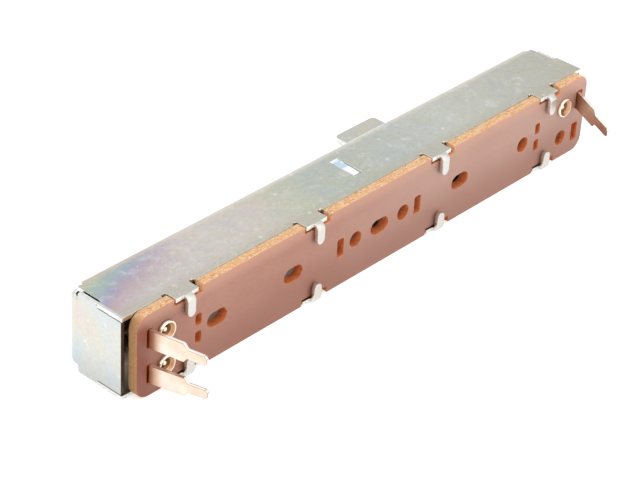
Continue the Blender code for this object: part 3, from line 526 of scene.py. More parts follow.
@dataclass(frozen=True)
class PunchedPaper(Finish):
    """Punched edge of the phenolic paper laminate.

    Punching tears the plies, so the cut is a pale orange with darker fibrous streaks along its middle.
    """

    torn: str = "#c9783c"
    rim: str = "#f8d7b4"
    painted_end_shade: str = "#ab7a4c"
    crumb_mm: float = 0.3
    ply_mm: float = 0.2  # the plies are near 0.1 mm thick, drawn coarser so that they show

    def dress(self, tree: NodeTree, shader: Node) -> None:
        """Adds torn plies and crumbs as tone and relief, and the painted shade at the near end.

        Args:
            tree: The material's tree.
            shader: Its Principled shader.
        """
        crumbs = self.patches(tree, (self.crumb_mm, self.ply_mm, self.crumb_mm), 3.0, 0.7, 0.4)
        tears = self.patches(tree, (1.4, 0.4, 1.4), 3.0, 0.6)
        colour = self.lay(tree, self.rim, self.colour, (crumbs, 0.36, 0.5))
        colour = self.lay(tree, colour, self.torn, (crumbs, 0.5, 0.66), (tears, 0.38, 0.6))
        # Painted shade: the outline is painted darker at the near end.
        colour = self.lay(tree, colour, self.painted_end_shade, (self.axes(tree)["X"], -35.3, -36.4), most=0.75)
        self.coat(tree, shader, colour, crumbs, 0.03)
        let_light_through(shader)


@dataclass(frozen=True)
class RolledStrip(Finish):
    """Rolled and plated strip: terminals and springs.

    Rolling leaves faint lines along the strip, and the thin plate lets a little of the base colour through.
    """

    under: str = "#ecd2bd"
    line_mm: float = 0.14  # rolling lines are near 0.02 mm apart, drawn coarser so that they show
    cloud_mm: float = 2.2
    root: str | None = None

    def dress(self, tree: NodeTree, shader: Node) -> None:
        """Adds thin spots in the plate, the rolling lines, and the brown painted near the board, a painted
        reflection of the board and painted shade.

        Args:
            tree: The material's tree.
            shader: Its Principled shader.
        """
        clouds = self.patches(tree, (self.cloud_mm,), 3.0, 0.6)
        lines = self.patches(tree, (self.line_mm * 14, self.line_mm * 14, self.line_mm), 2.0)
        colour = self.lay(tree, self.colour, self.under, (clouds, 0.35, 0.7))
        colour = self.toned(tree, colour, lines, (0.3, "#f4f4f4"), (0.7, "#ffffff"))
        # Painted reflection and shade: the strip is painted brown near the board, which it mirrors and which
        # shades it.
        if self.root:
            colour = self.lay(tree, colour, self.root, (self.axes(tree)["Y"], -7.1, -5.5), most=0.85)
        self.coat(tree, shader, colour, lines, 0.0008)


@dataclass(frozen=True)
class RolledRivet(Finish):
    """Bright brass rolled over by a smooth setting punch.

    The punch polishes the rim, drags the dish to a tan satin, and leaves the bore dull around a bright
    stub; the bore is also painted dark brown, a painted shade in the hollow. The colour follows the
    radius, which the turned mesh carries as its own attribute.
    """

    dish: str = "#cda27c"
    bore: str = "#6e4a33"
    attribute: str = "turned_radius"

    def dress(self, tree: NodeTree, shader: Node) -> None:
        """Adds the rings of tone from the stub to the rim.

        Args:
            tree: The material's tree.
            shader: Its Principled shader.
        """
        radius = add(tree, "ShaderNodeAttribute", attribute_name=self.attribute).outputs["Fac"]
        # Painted shade: the dark bore ring stands for the shade in the rivet's hollow.
        rings = add(tree, "ShaderNodeValToRGB", {0: radius}, (
            (0.0, self.colour), (0.2, self.colour), (0.3, self.bore), (0.5, self.bore), (0.58, self.dish),
            (0.78, self.dish), (0.84, self.colour), (1.0, self.colour)))
        tree.links.new(rings.outputs[0], shader.inputs["Base Color"])
        self.vary_gloss(tree, shader, radius, 0.86, 0.78, (self.roughness, 0.42))


@dataclass(frozen=True)
class MouldedAcetal(Finish):
    """Moulded acetal with a spark-eroded texture, which dulls its gloss."""

    spark_mm: float = 0.12  # the pits are near 0.03 mm wide, drawn coarser so that they show

    def dress(self, tree: NodeTree, shader: Node) -> None:
        """Adds the mould's fine texture.

        Args:
            tree: The material's tree.
            shader: Its Principled shader.
        """
        pits = self.patches(tree, (self.spark_mm,), 2.0, 0.6)
        tone = add(tree, "ShaderNodeValToRGB", {0: pits}, ((0.3, self.colour), (0.8, "#3a3a3c")))
        self.coat(tree, shader, tone.outputs[0], pits, 0.01)


@dataclass(frozen=True)
class PrintedInk(Finish):
    """Screen-printed and baked ink: the mesh leaves a fine weave and the filler a slight sparkle."""

    fleck: str = "#2c2c2c"
    mesh_mm: float = 0.15

    def dress(self, tree: NodeTree, shader: Node) -> None:
        """Adds the screen's weave and the filler's flecks."""
        weave = self.patches(tree, (self.mesh_mm,), 1.0)
        self.coat(tree, shader, self.lay(tree, self.colour, self.fleck, (weave, 0.4, 0.7)), weave, 0.004)


ZINC_SHEET = ZincPlate("zinc_plate_clear_chromate", "#c4c5bd", 1.0, 0.3)
ZINC_LEVER = ZincPlate("zinc_plate_lever", "#cdc9b9", 1.0, 0.3, "#c1c5c2", tinted=False)
SHEARED_EDGE = ShearedSteel("zinc_plate_on_sheared_edge", "#eeefec", 1.0, 0.26)
# The flaps' free edges are painted dark, a painted shade of the narrow gap beside the board.
FREE_EDGE = ShearedSteel("free_edge_painted_shade", "#5f544b", 1.0, 0.5, shade="#4a3f38")
BOARD_FACE = PhenolicPaper("phenolic_paper_face", "#c58e7b", 0.0, 0.42)
BOARD_CUT = PunchedPaper("phenolic_paper_punched", "#ebb785", 0.0, 0.75)
# The hole walls' deeper, darker orange is painted shade and painted bounce light of the recess.
BOARD_HOLE = PunchedPaper("phenolic_paper_hole_wall", "#d97f48", 0.0, 0.7, "#b85a2a", "#e3925a")
# The tinned strip's brown near the board is a painted reflection of the board and painted shade.
TINNED_BRASS = RolledStrip("tinned_brass_strip", "#f8e9dc", 1.0, 0.28, root="#b98866")
TINNED_EDGE = RolledStrip("tinned_brass_edge", "#fffdf8", 1.0, 0.2, "#fbf3ea")
BARE_BRASS = RolledStrip("brass_worn_bare", "#a9794f", 1.0, 0.3, "#8f6340")
RIVET_BRASS = RolledRivet("brass_rivet_rolled", "#fbf1e0", 1.0, 0.22)
PHOSPHOR_BRONZE = RolledStrip("phosphor_bronze_spring", "#c98f5e", 1.0, 0.25, "#b87d4e")
SPRING_STEEL = RolledStrip("spring_steel_strip", "#b4b4b2", 1.0, 0.25, "#9c9c9a")
BLACK_ACETAL = MouldedAcetal("acetal_moulded", "#1d1d1f", 0.0, 0.5)
CARBON_INK = PrintedInk("carbon_ink_printed", "#151515", 0.0, 0.6)
SILVER_INK = PrintedInk("silver_ink_printed", "#b9b7b0", 1.0, 0.5, "#93918b")

MERGE = 0.0005 * MM
OUT_OF_WALL = (math.radians(90.0), 0.0, 0.0)  # turns a form that stands along Z so that it stands along -Y


def new_object(name: str, data: Mesh | Light | Camera) -> Object:
    """Makes an object and links it to the scene.

    Args:
        name: Name of the object.
        data: Its mesh, lamp or camera.

    Returns:
        The object.
    """
    made = bpy.data.objects.new(name, data)
    bpy.context.scene.collection.objects.link(made)
    return made


def plain_mesh(obj: Object, name: str) -> Object:
    """Turns an object with modifiers to a plain mesh object and removes the object.

    Args:
        obj: Object whose evaluated shape is wanted.
        name: Name of the new object.

    Returns:
        A mesh object at the origin with no modifiers.
    """
    graph = bpy.context.evaluated_depsgraph_get()
    graph.update()
    shape = obj.evaluated_get(graph)
    mesh = bpy.data.meshes.new_from_object(shape, preserve_all_data_layers=True, depsgraph=graph)
    old = obj.data
    bpy.data.objects.remove(obj)
    if old.users == 0:
        bpy.data.meshes.remove(old)
    mesh.name = name
    return new_object(name, mesh)


@dataclass
class StockPiece:
    """A piece that keeps its CAD node's shape and gets worn edges and its two finishes.

    Attributes:
        node: CAD node that the piece stands for.
        body: Body that it moves with.
        face: Finish of the broad faces.
        edge: Finish of the cut edges.
        stock: Thickness of the sheet or board.
        edge_round: Width of the worn edge.
        slot: Material slot of the record; not used.
        flat_angle: Largest angle between triangles of one flat face.
        edge_angle: Smallest angle of an edge that wears.
        skin: How far under a face the stock behind it is measured from.
        edge_share: Stock behind a cut edge, at least, in thicknesses of the sheet.
        worn_index: Material index of the worn edges, or -1 for that of the face beside them.
    """

    node: str
    body: Body
    face: Finish
    edge: Finish
    stock: float
    edge_round: float
    slot: str
    flat_angle: float = math.radians(0.6)
    edge_angle: float = math.radians(38.0)
    skin: float = 0.004 * MM
    edge_share: float = 1.3
    worn_index: int = -1

    def finishes(self) -> tuple[Finish, ...]:
        """Returns the finishes in the order of their material index."""
        return self.face, self.edge

    def merged_copy(self, source: Object) -> Object:
        """Joins the node's loose triangles, and makes its flat faces whole.

        Args:
            source: The node's object.

        Returns:
            The copy that was worked on, with the finishes as its materials.
        """
        copy = bmesh.new()
        copy.from_mesh(source.data)
        bmesh.ops.remove_doubles(copy, verts=copy.verts, dist=MERGE)
        bmesh.ops.dissolve_limit(copy, angle_limit=self.flat_angle, verts=copy.verts, edges=copy.edges)
        mesh = bpy.data.meshes.new(self.node + "_copy")
        copy.to_mesh(mesh)
        copy.free()
        mesh.materials.clear()
        for finish in self.finishes():
            mesh.materials.append(finish.material())
        return new_object(self.node + "_copy", mesh)

    def mark_cut_edges(self, mesh: Mesh) -> None:
        """Gives every face its finish, by the stock behind its widest triangle.

        Args:
            mesh: Mesh of the merged copy.
        """
        mesh.calc_loop_triangles()
        corners = [v.co for v in mesh.vertices]
        tree = BVHTree.FromPolygons(corners, [t.vertices[:] for t in mesh.loop_triangles])
        widest: dict[int, bpy.types.MeshLoopTriangle] = {}
        for part in mesh.loop_triangles:
            known = widest.get(part.polygon_index)
            if known is None or part.area > known.area:
                widest[part.polygon_index] = part
        for index, part in widest.items():
            inward = -mesh.polygons[index].normal
            start = sum((corners[i] for i in part.vertices), Vector()) / 3 + inward * self.skin
            _, _, _, depth = tree.ray_cast(start, inward)
            mesh.polygons[index].material_index = self.finish_index(start, -inward, depth)

    def shape_details(self, mesh: Mesh) -> None:
        """Moves points where the finished piece differs from its node, which most pieces don't."""

    def finish_index(self, place: Vector, outward: Vector, depth: float | None) -> int:
        """Tells a broad face (0) from a cut edge (1) by the stock behind it.

        Args:
            place: Point just under the face.
            outward: The face's normal.
            depth: Stock behind it, or None where the ray met nothing.

        Returns:
            Index of the material for the face.
        """
        return int(depth is None or depth > self.stock * self.edge_share)

    def build(self, nodes: dict[str, Object]) -> Object:
        """Makes the finished piece and puts it in place of its node.

        Args:
            nodes: The CAD model's objects by name.

        Returns:
            The finished object.
        """
        copy = self.merged_copy(nodes[self.node])
        self.mark_cut_edges(copy.data)
        self.shape_details(copy.data)
        self.wear(copy)
        made = plain_mesh(copy, self.node + "_finished")
        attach(made, self.body.value)
        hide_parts(self.node)
        return made

    def wear(self, copy: Object) -> None:
        """Rounds the sharp edges a little and keeps the flat faces' shading flat.

        Args:
            copy: The merged copy, which gets two modifiers.
        """
        worn = copy.modifiers.new("worn_edges", "BEVEL")
        worn.width = self.edge_round
        worn.segments = 2
        worn.limit_method = "ANGLE"
        worn.angle_limit = self.edge_angle
        worn.use_clamp_overlap = False
        worn.material = self.worn_index
        worn.miter_outer = "MITER_SHARP"
        even = copy.modifiers.new("even_shading", "WEIGHTED_NORMAL")
        even.keep_sharp = True
        copy.data.polygons.foreach_set("use_smooth", [True] * len(copy.data.polygons))


@dataclass
class TinnedTerminal(StockPiece):
    """A terminal whose worn edges show the brass under the tin."""

    worn_index: int = 2

    def finishes(self) -> tuple[Finish, ...]:
        """Returns the finishes in the order of their material index."""
        return self.face, self.edge, BARE_BRASS


@dataclass
class FlappedCase(StockPiece):
    """The folded case, whose flaps end in an edge beside the board that is painted dark, a painted shade of
    the narrow gap.
    """

    free_edge_shade: Finish = FREE_EDGE
    end_reach: float = 0.45 * MM
    free_reach: float = 0.1 * MM
    free_y: float = -3.9 * MM
    tongue_half: float = 0.58 * MM
    tongue_knee: float = 1.35 * MM
    tongue_tip: float = -1.56 * MM
    tongue_lift: float = 0.32 * MM

    def __post_init__(self) -> None:
        """Looks up the case's ends."""
        self.low, self.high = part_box(self.node)

    def finishes(self) -> tuple[Finish, ...]:
        """Returns the finishes in the order of their material index."""
        return self.face, self.edge, self.free_edge_shade

    def shape_details(self, mesh: Mesh) -> None:
        """Sets the lanced tongue a little nearer to the wall's face than its node has it.

        Args:
            mesh: Mesh of the merged copy.
        """
        for point in mesh.vertices:
            run = (self.tongue_knee - point.co.y) / (self.tongue_knee - self.tongue_tip)
            if abs(point.co.x) < self.tongue_half and 0.0 < run < 1.01 and point.co.z > self.high.z / 2:
                point.co.z += self.tongue_lift * run

    def finish_index(self, place: Vector, outward: Vector, depth: float | None) -> int:
        """Tells the flaps' free edges (2), which lie at both ends and face the board, from the others.

        Args:
            place: Point just under the face.
            outward: The face's normal.
            depth: Stock behind it, or None where the ray met nothing.

        Returns:
            Index of the material for the face.
        """
        index = super().finish_index(place, outward, depth)
        ending = min(place.x - self.low.x, self.high.x - place.x) < self.end_reach
        facing = abs(place.y - self.free_y) < self.free_reach
        return 2 if index and ending and facing else index


@dataclass
class PunchedBoard(StockPiece):
    """A punched board, whose hole walls look deeper in colour than its outline.

    Light that enters a hole's wall comes back from the next wall, which deepens the colour; the hole walls'
    finish paints this in as painted shade and painted bounce light of the recess.

    Attributes:
        hole: Finish of the hole walls.
        margin: Width of the band along the outline whose walls aren't a hole's.
        far_slot: Middle, half width and shift of the far terminal's slot, along X.
        near_walls: The same for the outer walls of the two near terminals' slots.
        slot_reach: Half of a slot's height, with its round ends.
    """

    hole: Finish = BOARD_HOLE
    margin: float = 0.4 * MM
    far_slot: tuple[float, float, float] = (35.7 * MM, 0.62 * MM, 0.25 * MM)
    near_walls: tuple[float, float, float] = (-35.5 * MM, 0.2 * MM, 0.4 * MM)
    slot_reach: float = 1.4 * MM

    def __post_init__(self) -> None:
        """Looks up the board's outline."""
        self.low, self.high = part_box(self.node)

    def finishes(self) -> tuple[Finish, ...]:
        """Returns the finishes in the order of their material index."""
        return self.face, self.edge, self.hole

    def shape_details(self, mesh: Mesh) -> None:
        """Sets the far terminal's slot further out, and the near slots' outer walls nearer to their strips.

        Args:
            mesh: Mesh of the merged copy.
        """
        for rivet, (middle, reach, lead) in (
                ("rivet_far", self.far_slot), ("rivet_near_upper", self.near_walls),
                ("rivet_near_lower", self.near_walls)):
            row = sum(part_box(rivet), Vector()).z / 2
            for point in mesh.vertices:
                if abs(point.co.x - middle) < reach and abs(point.co.z - row) < self.slot_reach:
                    point.co.x += lead

    def finish_index(self, place: Vector, outward: Vector, depth: float | None) -> int:
        """Tells the broad faces (0), which face along Y, from the outline (1) and the hole walls (2).

        Args:
            place: Point just under the face.
            outward: The face's normal.
            depth: Stock behind it, which doesn't matter here.

        Returns:
            Index of the material for the face.
        """
        inside = all(self.low[a] + self.margin < place[a] < self.high[a] - self.margin for a in (0, 2))
        return 0 if abs(outward.y) > 0.7 else 1 + inside


def dress_node(node: Object, finish: Finish) -> None:
    """Gives a CAD node that stays as it is its finish."""
    for slot in node.material_slots:
        slot.material = finish.material()


def quarter_turn(steps: int) -> list[float]:
    """Returns the angles from 0 to a right angle in equal steps, in radians."""
    return [math.pi / 2 * i / steps for i in range(steps + 1)]


@dataclass
class PointPattern:
    """Geometry Nodes helper for a form that is made once and set at several points."""

    name: str
    body: Body
    finish: Finish
    slot: str

    def points_object(self, places: tuple[tuple[float, float, float], ...]) -> Object:
        """Makes an object with one vertex at each place.

        Args:
            places: Where the forms go.

        Returns:
            The object, which carries the modifier.
        """
        mesh = bpy.data.meshes.new(self.name + "_points")
        mesh.from_pydata([Vector(p) for p in places], [], [])
        return new_object(self.name + "_points", mesh)

    def new_tree(self, sizes: dict[str, float]) -> tuple[NodeTree, Node]:
        """Makes a tree with a geometry input and one named input for each size.

        Args:
            sizes: Name and default of each size.

        Returns:
            The tree and its input node.
        """
        tree = bpy.data.node_groups.new(self.name, "GeometryNodeTree")
        tree.interface.new_socket("Geometry", in_out="INPUT", socket_type="NodeSocketGeometry")
        for label, value in sizes.items():
            kind = "NodeSocketInt" if isinstance(value, int) else "NodeSocketFloat"
            tree.interface.new_socket(label, in_out="INPUT", socket_type=kind).default_value = value
        tree.interface.new_socket("Geometry", in_out="OUTPUT", socket_type="NodeSocketGeometry")
        return tree, add(tree, "NodeGroupInput")

    def close_tree(self, tree: NodeTree, form: NodeSocket, points: NodeSocket,
                   turn: tuple[float, float, float], spin: float, seed: int) -> None:
        """Sets the form at each point, makes it real and gives it its material.

        Args:
            tree: Tree to close.
            form: Geometry of one form.
            points: Geometry whose points carry the forms.
            turn: Rotation of the form, in radians.
            spin: Largest random turn about the form's own axis, in radians.
            seed: Seed of that random turn.
        """
        chance = add(tree, "FunctionNodeRandomValue", {"Seed": seed}, data_type="FLOAT")
        chance.inputs[2].default_value = 0.0
        chance.inputs[3].default_value = spin
        about = add(tree, "ShaderNodeCombineXYZ", {"Z": chance.outputs[1]})
        spun = add(tree, "FunctionNodeEulerToRotation", {0: about})
        laid = add(tree, "FunctionNodeEulerToRotation", {0: turn})
        both = add(tree, "FunctionNodeRotateRotation", {0: laid, 1: spun},
                   rotation_space="LOCAL")
        copies = add(tree, "GeometryNodeInstanceOnPoints",
                     {"Points": points, "Instance": form, "Rotation": both})
        real = add(tree, "GeometryNodeRealizeInstances", {0: copies})
        smooth = add(tree, "GeometryNodeSetShadeSmooth", {0: real})
        painted = add(tree, "GeometryNodeSetMaterial",
                      {"Geometry": smooth, "Material": self.finish.material()})
        add(tree, "NodeGroupOutput", {0: painted})

    def realise(self, points: Object, tree: NodeTree, sizes: dict[str, float],
                replaced: tuple[str, ...] = ()) -> Object:
        """Runs the tree on the points and returns its plain mesh, riding on its body.

        Args:
            points: Object that carries the modifier.
            tree: The closed tree.
            sizes: Value of each named input.
            replaced: CAD nodes that the result stands for.

        Returns:
            The finished object.
        """
        maker = points.modifiers.new(self.name, "NODES")
        maker.node_group = tree
        for item in tree.interface.items_tree:
            if item.item_type == "SOCKET" and item.in_out == "INPUT" and item.name in sizes:
                maker[item.identifier] = sizes[item.name]
        made = plain_mesh(points, self.name + "_finished")
        self.close_seams(made.data)
        bpy.data.node_groups.remove(tree)
        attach(made, self.body.value)
        if replaced:
            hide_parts(*replaced)
        return made

    def close_seams(self, mesh: Mesh) -> None:
        """Merges the doubles along seams and at poles, and turns the faces outwards.

        Args:
            mesh: Mesh of the realised forms.
        """
        clean = bmesh.new()
        clean.from_mesh(mesh)
        bmesh.ops.remove_doubles(clean, verts=clean.verts, dist=MERGE)
        bmesh.ops.dissolve_degenerate(clean, edges=clean.edges, dist=MERGE * 0.4)
        bmesh.ops.recalc_face_normals(clean, faces=clean.faces)
        clean.to_mesh(mesh)
        clean.free()


@dataclass
class FoldedCase:
    """The folded steel case with the threads of its two fixing holes."""

    sheet: float = 0.5 * MM
    edge_round: float = 0.045 * MM
    fixing_x: float = 35.0 * MM
    fixing_radius: float = 1.05 * MM
    thread_pitch: float = 0.2 * MM
    thread_depth: float = 0.05 * MM
    thread_facets: int = 48
    web_y: float = 4.05 * MM
    middle_z: float = 5.05 * MM

    def build(self, nodes: dict[str, Object]) -> list[Object]:
        """Makes the case and its threads.

        Args:
            nodes: The CAD model's objects by name.

        Returns:
            The finished objects.
        """
        case = FlappedCase("case", Body.HOUSING, ZINC_SHEET, SHEARED_EDGE, self.sheet, self.edge_round,
                           "zinc_plated_steel")
        return [case.build(nodes), self.threads()]

    def threads(self) -> Object:
        """Sweeps a small ridge along a helix in each fixing hole.

        Returns:
            One mesh with the threads of both holes.
        """
        pattern = PointPattern("fixing_threads", Body.HOUSING, SHEARED_EDGE, "zinc_plated_steel")
        sizes = {"Hole Radius": self.fixing_radius, "Pitch": self.thread_pitch, "Depth": self.thread_depth,
                 "Wall": self.sheet}
        tree, node = pattern.new_tree(sizes)
        given = node.outputs
        inner = add(tree, "ShaderNodeMath", {0: given["Wall"], 1: given["Pitch"]}, operation="SUBTRACT")
        turns = add(tree, "ShaderNodeMath", {0: inner, 1: given["Pitch"]}, operation="DIVIDE")
        helix = add(tree, "GeometryNodeCurveSpiral", {
            "Resolution": self.thread_facets, "Rotations": turns, "Height": inner,
            "Start Radius": given["Hole Radius"], "End Radius": given["Hole Radius"]})
        ridge = add(tree, "GeometryNodeCurvePrimitiveCircle", {"Resolution": 4, "Radius": given["Depth"]},
                    mode="RADIUS")
        swept = add(tree, "GeometryNodeCurveToMesh",
                    {"Curve": helix, "Profile Curve": ridge, "Fill Caps": True})
        pattern.close_tree(tree, swept.outputs[0], given["Geometry"], OUT_OF_WALL, 0.0, 0)
        start = self.web_y - self.thread_pitch / 2
        places = tuple((side * self.fixing_x, start, self.middle_z) for side in (-1, 1))
        points = pattern.points_object(places)
        return pattern.realise(points, tree, sizes)


@dataclass
class RivetedBoard:
    """The phenolic board with its rolled rivets and its printed tracks."""

    thickness: float = 1.2 * MM
    edge_round: float = 0.05 * MM
    flange_radius: float = 1.2 * MM
    flange_height: float = 0.34 * MM
    crest_radius: float = 1.04 * MM
    bore_radius: float = 0.62 * MM
    bore_depth: float = 0.35 * MM
    nub_radius: float = 0.34 * MM
    shank_radius: float = 0.8 * MM
    head_radius: float = 1.05 * MM
    head_height: float = 0.3 * MM
    head_round: float = 0.15 * MM
    face_y: float = -5.35 * MM
    head_y: float = -3.45 * MM
    facets: int = 48
    spin_seed: int = 7

    def profile(self) -> list[tuple[float, float]]:
        """Draws the rivet's outline from its inner head round its rolled rim to its stub.

        Returns:
            Radius and height above the board's face of each point.
        """
        low = self.face_y - self.head_y
        base, soft = low - self.head_height, self.head_round
        head = [(0.0, base)]
        head += [(self.head_radius - soft * (1 - math.cos(a)), base + soft * (1 - math.sin(a)))
                 for a in reversed(quarter_turn(5))]
        shank = [(self.head_radius, low), (self.shank_radius, low), (self.shank_radius, 0.0)]
        lip, throat = self.flange_radius - self.crest_radius, self.crest_radius - self.bore_radius
        turns = quarter_turn(8)[1:]
        rim = [(self.flange_radius, 0.0)]
        rim += [(self.crest_radius + lip * math.cos(a), self.flange_height * math.sin(a)) for a in turns]
        rim += [(self.crest_radius - throat * a / turns[-1], self.flange_height * math.cos(a) ** 2)
                for a in turns]
        stub = [(self.bore_radius, -self.bore_depth)]
        stub += [(self.nub_radius * math.cos(a), -self.bore_depth + self.nub_radius * math.sin(a))
                 for a in quarter_turn(6)]
        return head + shank + rim + stub

    def follow(self, tree: NodeTree, along: NodeSocket, values: list[float]) -> NodeSocket:
        """Makes a value that runs straight from each of the given ones to the next.

        Args:
            tree: Geometry Nodes tree.
            along: Place along them, from 0 to 1.
            values: Values at equal steps, each from 0 to 1.

        Returns:
            The value at that place.
        """
        curve = add(tree, "ShaderNodeFloatCurve", {"Value": along})
        points = curve.mapping.curves[0].points
        while len(points) < len(values):
            points.new(0.5, 0.5)
        for i, (point, value) in enumerate(zip(points, values)):
            point.location = (i / (len(values) - 1), value)
        for point in points:
            point.handle_type = "VECTOR"
        curve.mapping.update()
        return curve.outputs[0]

    def turned(self, tree: NodeTree, given: NodeOutputs, outline: list[tuple[float, float]],
               size: dict[str, float]) -> NodeSocket:
        """Turns the outline about Z.

        Args:
            tree: Geometry Nodes tree.
            given: Its named inputs.
            outline: Radius and height of each point.
            size: Largest radius, lowest and highest point of the outline.

        Returns:
            Geometry of one rivet, which carries its radius as an attribute.
        """
        sheet = add(tree, "GeometryNodeMeshGrid", {
            "Size X": 1.0, "Size Y": 1.0, "Vertices X": given["Facets"], "Vertices Y": len(outline)})
        grid = add(tree, "ShaderNodeSeparateXYZ", {0: sheet.outputs["UV Map"]}).outputs
        rise = size["Highest"] - size["Lowest"]
        share = self.follow(tree, grid["Y"], [r / size["Radius"] for r, _ in outline])
        level = self.follow(tree, grid["Y"], [(h - size["Lowest"]) / rise for _, h in outline])
        radius = add(tree, "ShaderNodeMath", {0: share, 1: given["Radius"]}, operation="MULTIPLY")
        height = add(tree, "ShaderNodeMapRange",
                     {"Value": level, "To Min": given["Lowest"], "To Max": given["Highest"]})
        angle = add(tree, "ShaderNodeMath", {0: grid["X"], 1: math.tau}, operation="MULTIPLY")
        where = add(tree, "ShaderNodeCombineXYZ", {"Z": height})
        for axis, way in (("X", "COSINE"), ("Y", "SINE")):
            side = add(tree, "ShaderNodeMath", {0: angle}, operation=way).outputs[0]
            place = add(tree, "ShaderNodeMath", {0: side, 1: radius}, operation="MULTIPLY")
            tree.links.new(place.outputs[0], where.inputs[axis])
        marked = add(tree, "GeometryNodeStoreNamedAttribute",
                     {"Geometry": sheet.outputs["Mesh"], "Name": RIVET_BRASS.attribute, "Value": share})
        return add(tree, "GeometryNodeSetPosition",
                   {"Geometry": marked, "Position": where}).outputs[0]

    def rivets(self) -> Object:
        """Sets a turned rivet at each of the three terminals, each spun at random.

        Returns:
            One mesh with the three rivets.
        """
        pattern = PointPattern("rivets", Body.HOUSING, RIVET_BRASS, "brass")
        outline = self.profile()
        heights = [h for _, h in outline]
        size = {"Radius": max(r for r, _ in outline), "Lowest": min(heights), "Highest": max(heights),
                "Facets": self.facets}
        tree, node = pattern.new_tree(size)
        rivet = self.turned(tree, node.outputs, outline, size)
        pattern.close_tree(tree, rivet, node.outputs["Geometry"], OUT_OF_WALL, math.tau, self.spin_seed)
        names = ("rivet_near_upper", "rivet_near_lower", "rivet_far")
        centres = [(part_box(n)[0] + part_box(n)[1]) / 2 for n in names]
        points = pattern.points_object(tuple((c.x, self.face_y, c.z) for c in centres))
        return pattern.realise(points, tree, size, names)

    def build(self, nodes: dict[str, Object]) -> list[Object]:
        """Makes the board and its rivets, and gives the printed tracks their inks.

        Args:
            nodes: The CAD model's objects by name.

        Returns:
            The finished objects.
        """
        board = PunchedBoard("circuit_board", Body.HOUSING, BOARD_FACE, BOARD_CUT, self.thickness,
                             self.edge_round, "phenolic_paper")
        dress_node(nodes["resistive_track"], CARBON_INK)
        for name in ("collector_track", "silver_pad_near", "silver_pad_far"):
            dress_node(nodes[name], SILVER_INK)
        return [board.build(nodes), self.rivets()]


@dataclass
class Terminals:
    """The three stamped and bent solder terminals."""

    strip: float = 0.4 * MM
    edge_round: float = 0.03 * MM

    def build(self, nodes: dict[str, Object]) -> list[Object]:
        """Makes the three terminals.

        Args:
            nodes: The CAD model's objects by name.

        Returns:
            The finished objects.
        """
        names = ("terminal_near_upper", "terminal_near_lower", "terminal_far")
        return [TinnedTerminal(n, Body.HOUSING, TINNED_BRASS, TINNED_EDGE, self.strip, self.edge_round,
                               "tinned_brass").build(nodes) for n in names]


@dataclass
class Slider:
    """The moving pieces: lever, carriage, wiper and guide spring."""

    lever_stock: float = 0.8 * MM
    lever_round: float = 0.06 * MM
    moulded_round: float = 0.08 * MM

    def build(self, nodes: dict[str, Object]) -> list[Object]:
        """Makes the lever and the carriage, and dresses the two springs.

        Args:
            nodes: The CAD model's objects by name.

        Returns:
            The finished objects.
        """
        dress_node(nodes["wiper"], PHOSPHOR_BRONZE)
        dress_node(nodes["guide_spring"], SPRING_STEEL)
        lever = StockPiece("lever", Body.SLIDER, ZINC_LEVER, SHEARED_EDGE, self.lever_stock,
                           self.lever_round, "lever_steel")
        carriage = StockPiece("carriage", Body.SLIDER, BLACK_ACETAL, BLACK_ACETAL, self.lever_stock,
                              self.moulded_round, "acetal")
        return [lever.build(nodes), carriage.build(nodes)]


@dataclass
class Lamp:
    """A soft rectangular lamp aimed at the part."""

    name: str
    place: tuple[float, float, float]
    size: float
    power: float
    colour: str = "#ffffff"
    aim: tuple[float, float, float] = (0.0, 0.0, 5.0 * MM)

    def build(self) -> None:
        """Makes the lamp and turns it to its aim."""
        light = bpy.data.lights.new(self.name, "AREA")
        light.shape = "SQUARE"
        light.size = self.size
        light.energy = self.power
        light.color = linear(self.colour)[:3]
        lamp = new_object(self.name, light)
        lamp.location = self.place
        towards = Vector(self.aim) - Vector(self.place)
        lamp.rotation_euler = towards.to_track_quat("-Z", "Y").to_euler()


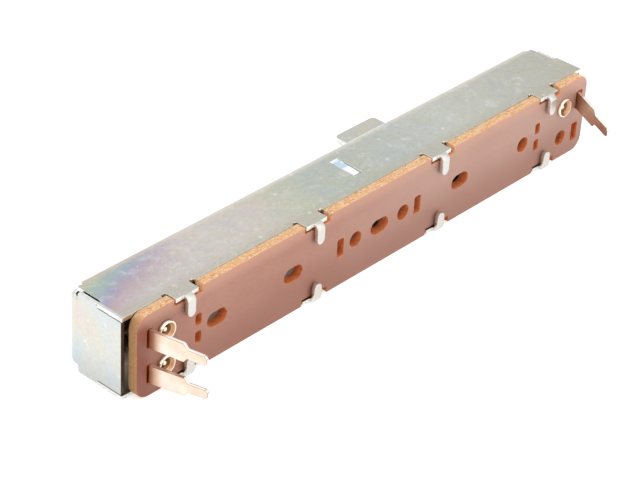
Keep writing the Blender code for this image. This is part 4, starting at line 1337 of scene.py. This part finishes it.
@dataclass
class Studio:
    """White table, plain soft light and the camera."""

    floor_half: float = 1.5
    floor_drop: float = 0.02 * MM
    table_colour: str = "#e9e9e9"
    table_glow: float = 0.55
    camera_place: tuple[float, float, float] = (-0.16042, -0.13439, 0.13764)
    camera_right: tuple[float, float, float] = (0.67517, -0.73595, 0.05030)
    camera_down: tuple[float, float, float] = (-0.37770, -0.40347, -0.83340)
    camera_forward: tuple[float, float, float] = (0.63363, 0.54368, -0.55038)
    lens: float = 125.53
    shift: tuple[float, float] = (0.0015, 0.00745)
    sky_level: float = 0.78

    def seen(self, tree: NodeTree) -> NodeSocket:
        """Tells the rays that see the background from those that light the part.

        Args:
            tree: Node tree of the table's material or of the world.

        Returns:
            1 for camera, glossy and transmission rays, and 0 for the rest.
        """
        path = add(tree, "ShaderNodeLightPath").outputs
        seen = path["Is Camera Ray"]
        for kind in ("Is Glossy Ray", "Is Transmission Ray"):
            seen = add(tree, "ShaderNodeMath", {0: seen, 1: path[kind]}, operation="MAXIMUM").outputs[0]
        return seen

    def floor(self) -> None:
        """Makes the white table, which keeps the part's shadow and isn't part of the object."""
        half = self.floor_half
        mesh = bpy.data.meshes.new("table")
        mesh.from_pydata([(-half, -half, -self.floor_drop), (half, -half, -self.floor_drop),
                           (half, half, -self.floor_drop), (-half, half, -self.floor_drop)],
                          [], [(0, 1, 2, 3)])
        finish = bpy.data.materials.new("table_white")
        finish.use_nodes = True
        tree = finish.node_tree
        tree.nodes.clear()
        plain = add(tree, "ShaderNodeBsdfDiffuse", {"Color": self.table_colour})
        glow = add(tree, "ShaderNodeEmission", {"Color": "#ffffff", "Strength": self.table_glow})
        bright = add(tree, "ShaderNodeAddShader", {0: plain, 1: glow})
        choice = add(tree, "ShaderNodeMixShader",
                     {0: self.seen(tree), 1: plain, 2: bright})
        add(tree, "ShaderNodeOutputMaterial", {0: choice})
        mesh.materials.append(finish)
        table = new_object("table", mesh)

    def sky(self) -> None:
        """Makes the room: plain light on the part, white where a ray sees it."""
        world = bpy.data.worlds.new("studio_room")
        world.use_nodes = True
        bpy.context.scene.world = world
        tree = world.node_tree
        tree.nodes.clear()
        level = add(tree, "ShaderNodeMapRange",
                    {"Value": self.seen(tree), "To Min": self.sky_level, "To Max": 1.0})
        back = add(tree, "ShaderNodeBackground", {"Color": "#ffffff", "Strength": level})
        add(tree, "ShaderNodeOutputWorld", {0: back})

    def camera(self) -> None:
        """Makes the camera at the place fitted to the picture."""
        data = bpy.data.cameras.new("camera")
        data.lens = self.lens
        data.sensor_width = 36.0
        data.shift_x, data.shift_y = self.shift
        data.clip_start = 0.001
        right, down, forward = map(Vector, (self.camera_right, self.camera_down, self.camera_forward))
        turn = Matrix((right, -down, -forward)).transposed().to_4x4()
        made = new_object("camera", data)
        made.matrix_world = Matrix.Translation(self.camera_place) @ turn
        bpy.context.scene.camera = made

    def build(self) -> None:
        """Makes the table, the room, the lamps and the camera."""
        bpy.context.scene.view_settings.view_transform = "Standard"
        self.floor()
        self.sky()
        self.camera()
        for lamp in (Lamp("key_softbox", (0.20, -0.85, 0.48), 1.40, 3.4, "#fffaf2"),
                     Lamp("top_softbox", (0.0, 0.20, 1.00), 1.20, 1.4),
                     Lamp("fill_softbox", (-0.80, 0.02, 0.45), 0.80, 0.6, "#f4faff")):
            lamp.build()


def main() -> None:
    """Builds the studio and every sub-assembly."""
    logging.basicConfig(level=logging.INFO, format="%(name)s: %(message)s")
    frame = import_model()
    Studio().build()
    LOG.info("studio ready")
    for part in (FoldedCase(), RivetedBoard(), Terminals(), Slider()):
        for piece in part.build(frame["nodes"]):
            LOG.info("%s: %s, %d faces", type(part).__name__, piece.name, len(piece.data.polygons))


if __name__ == "__main__":
    main()
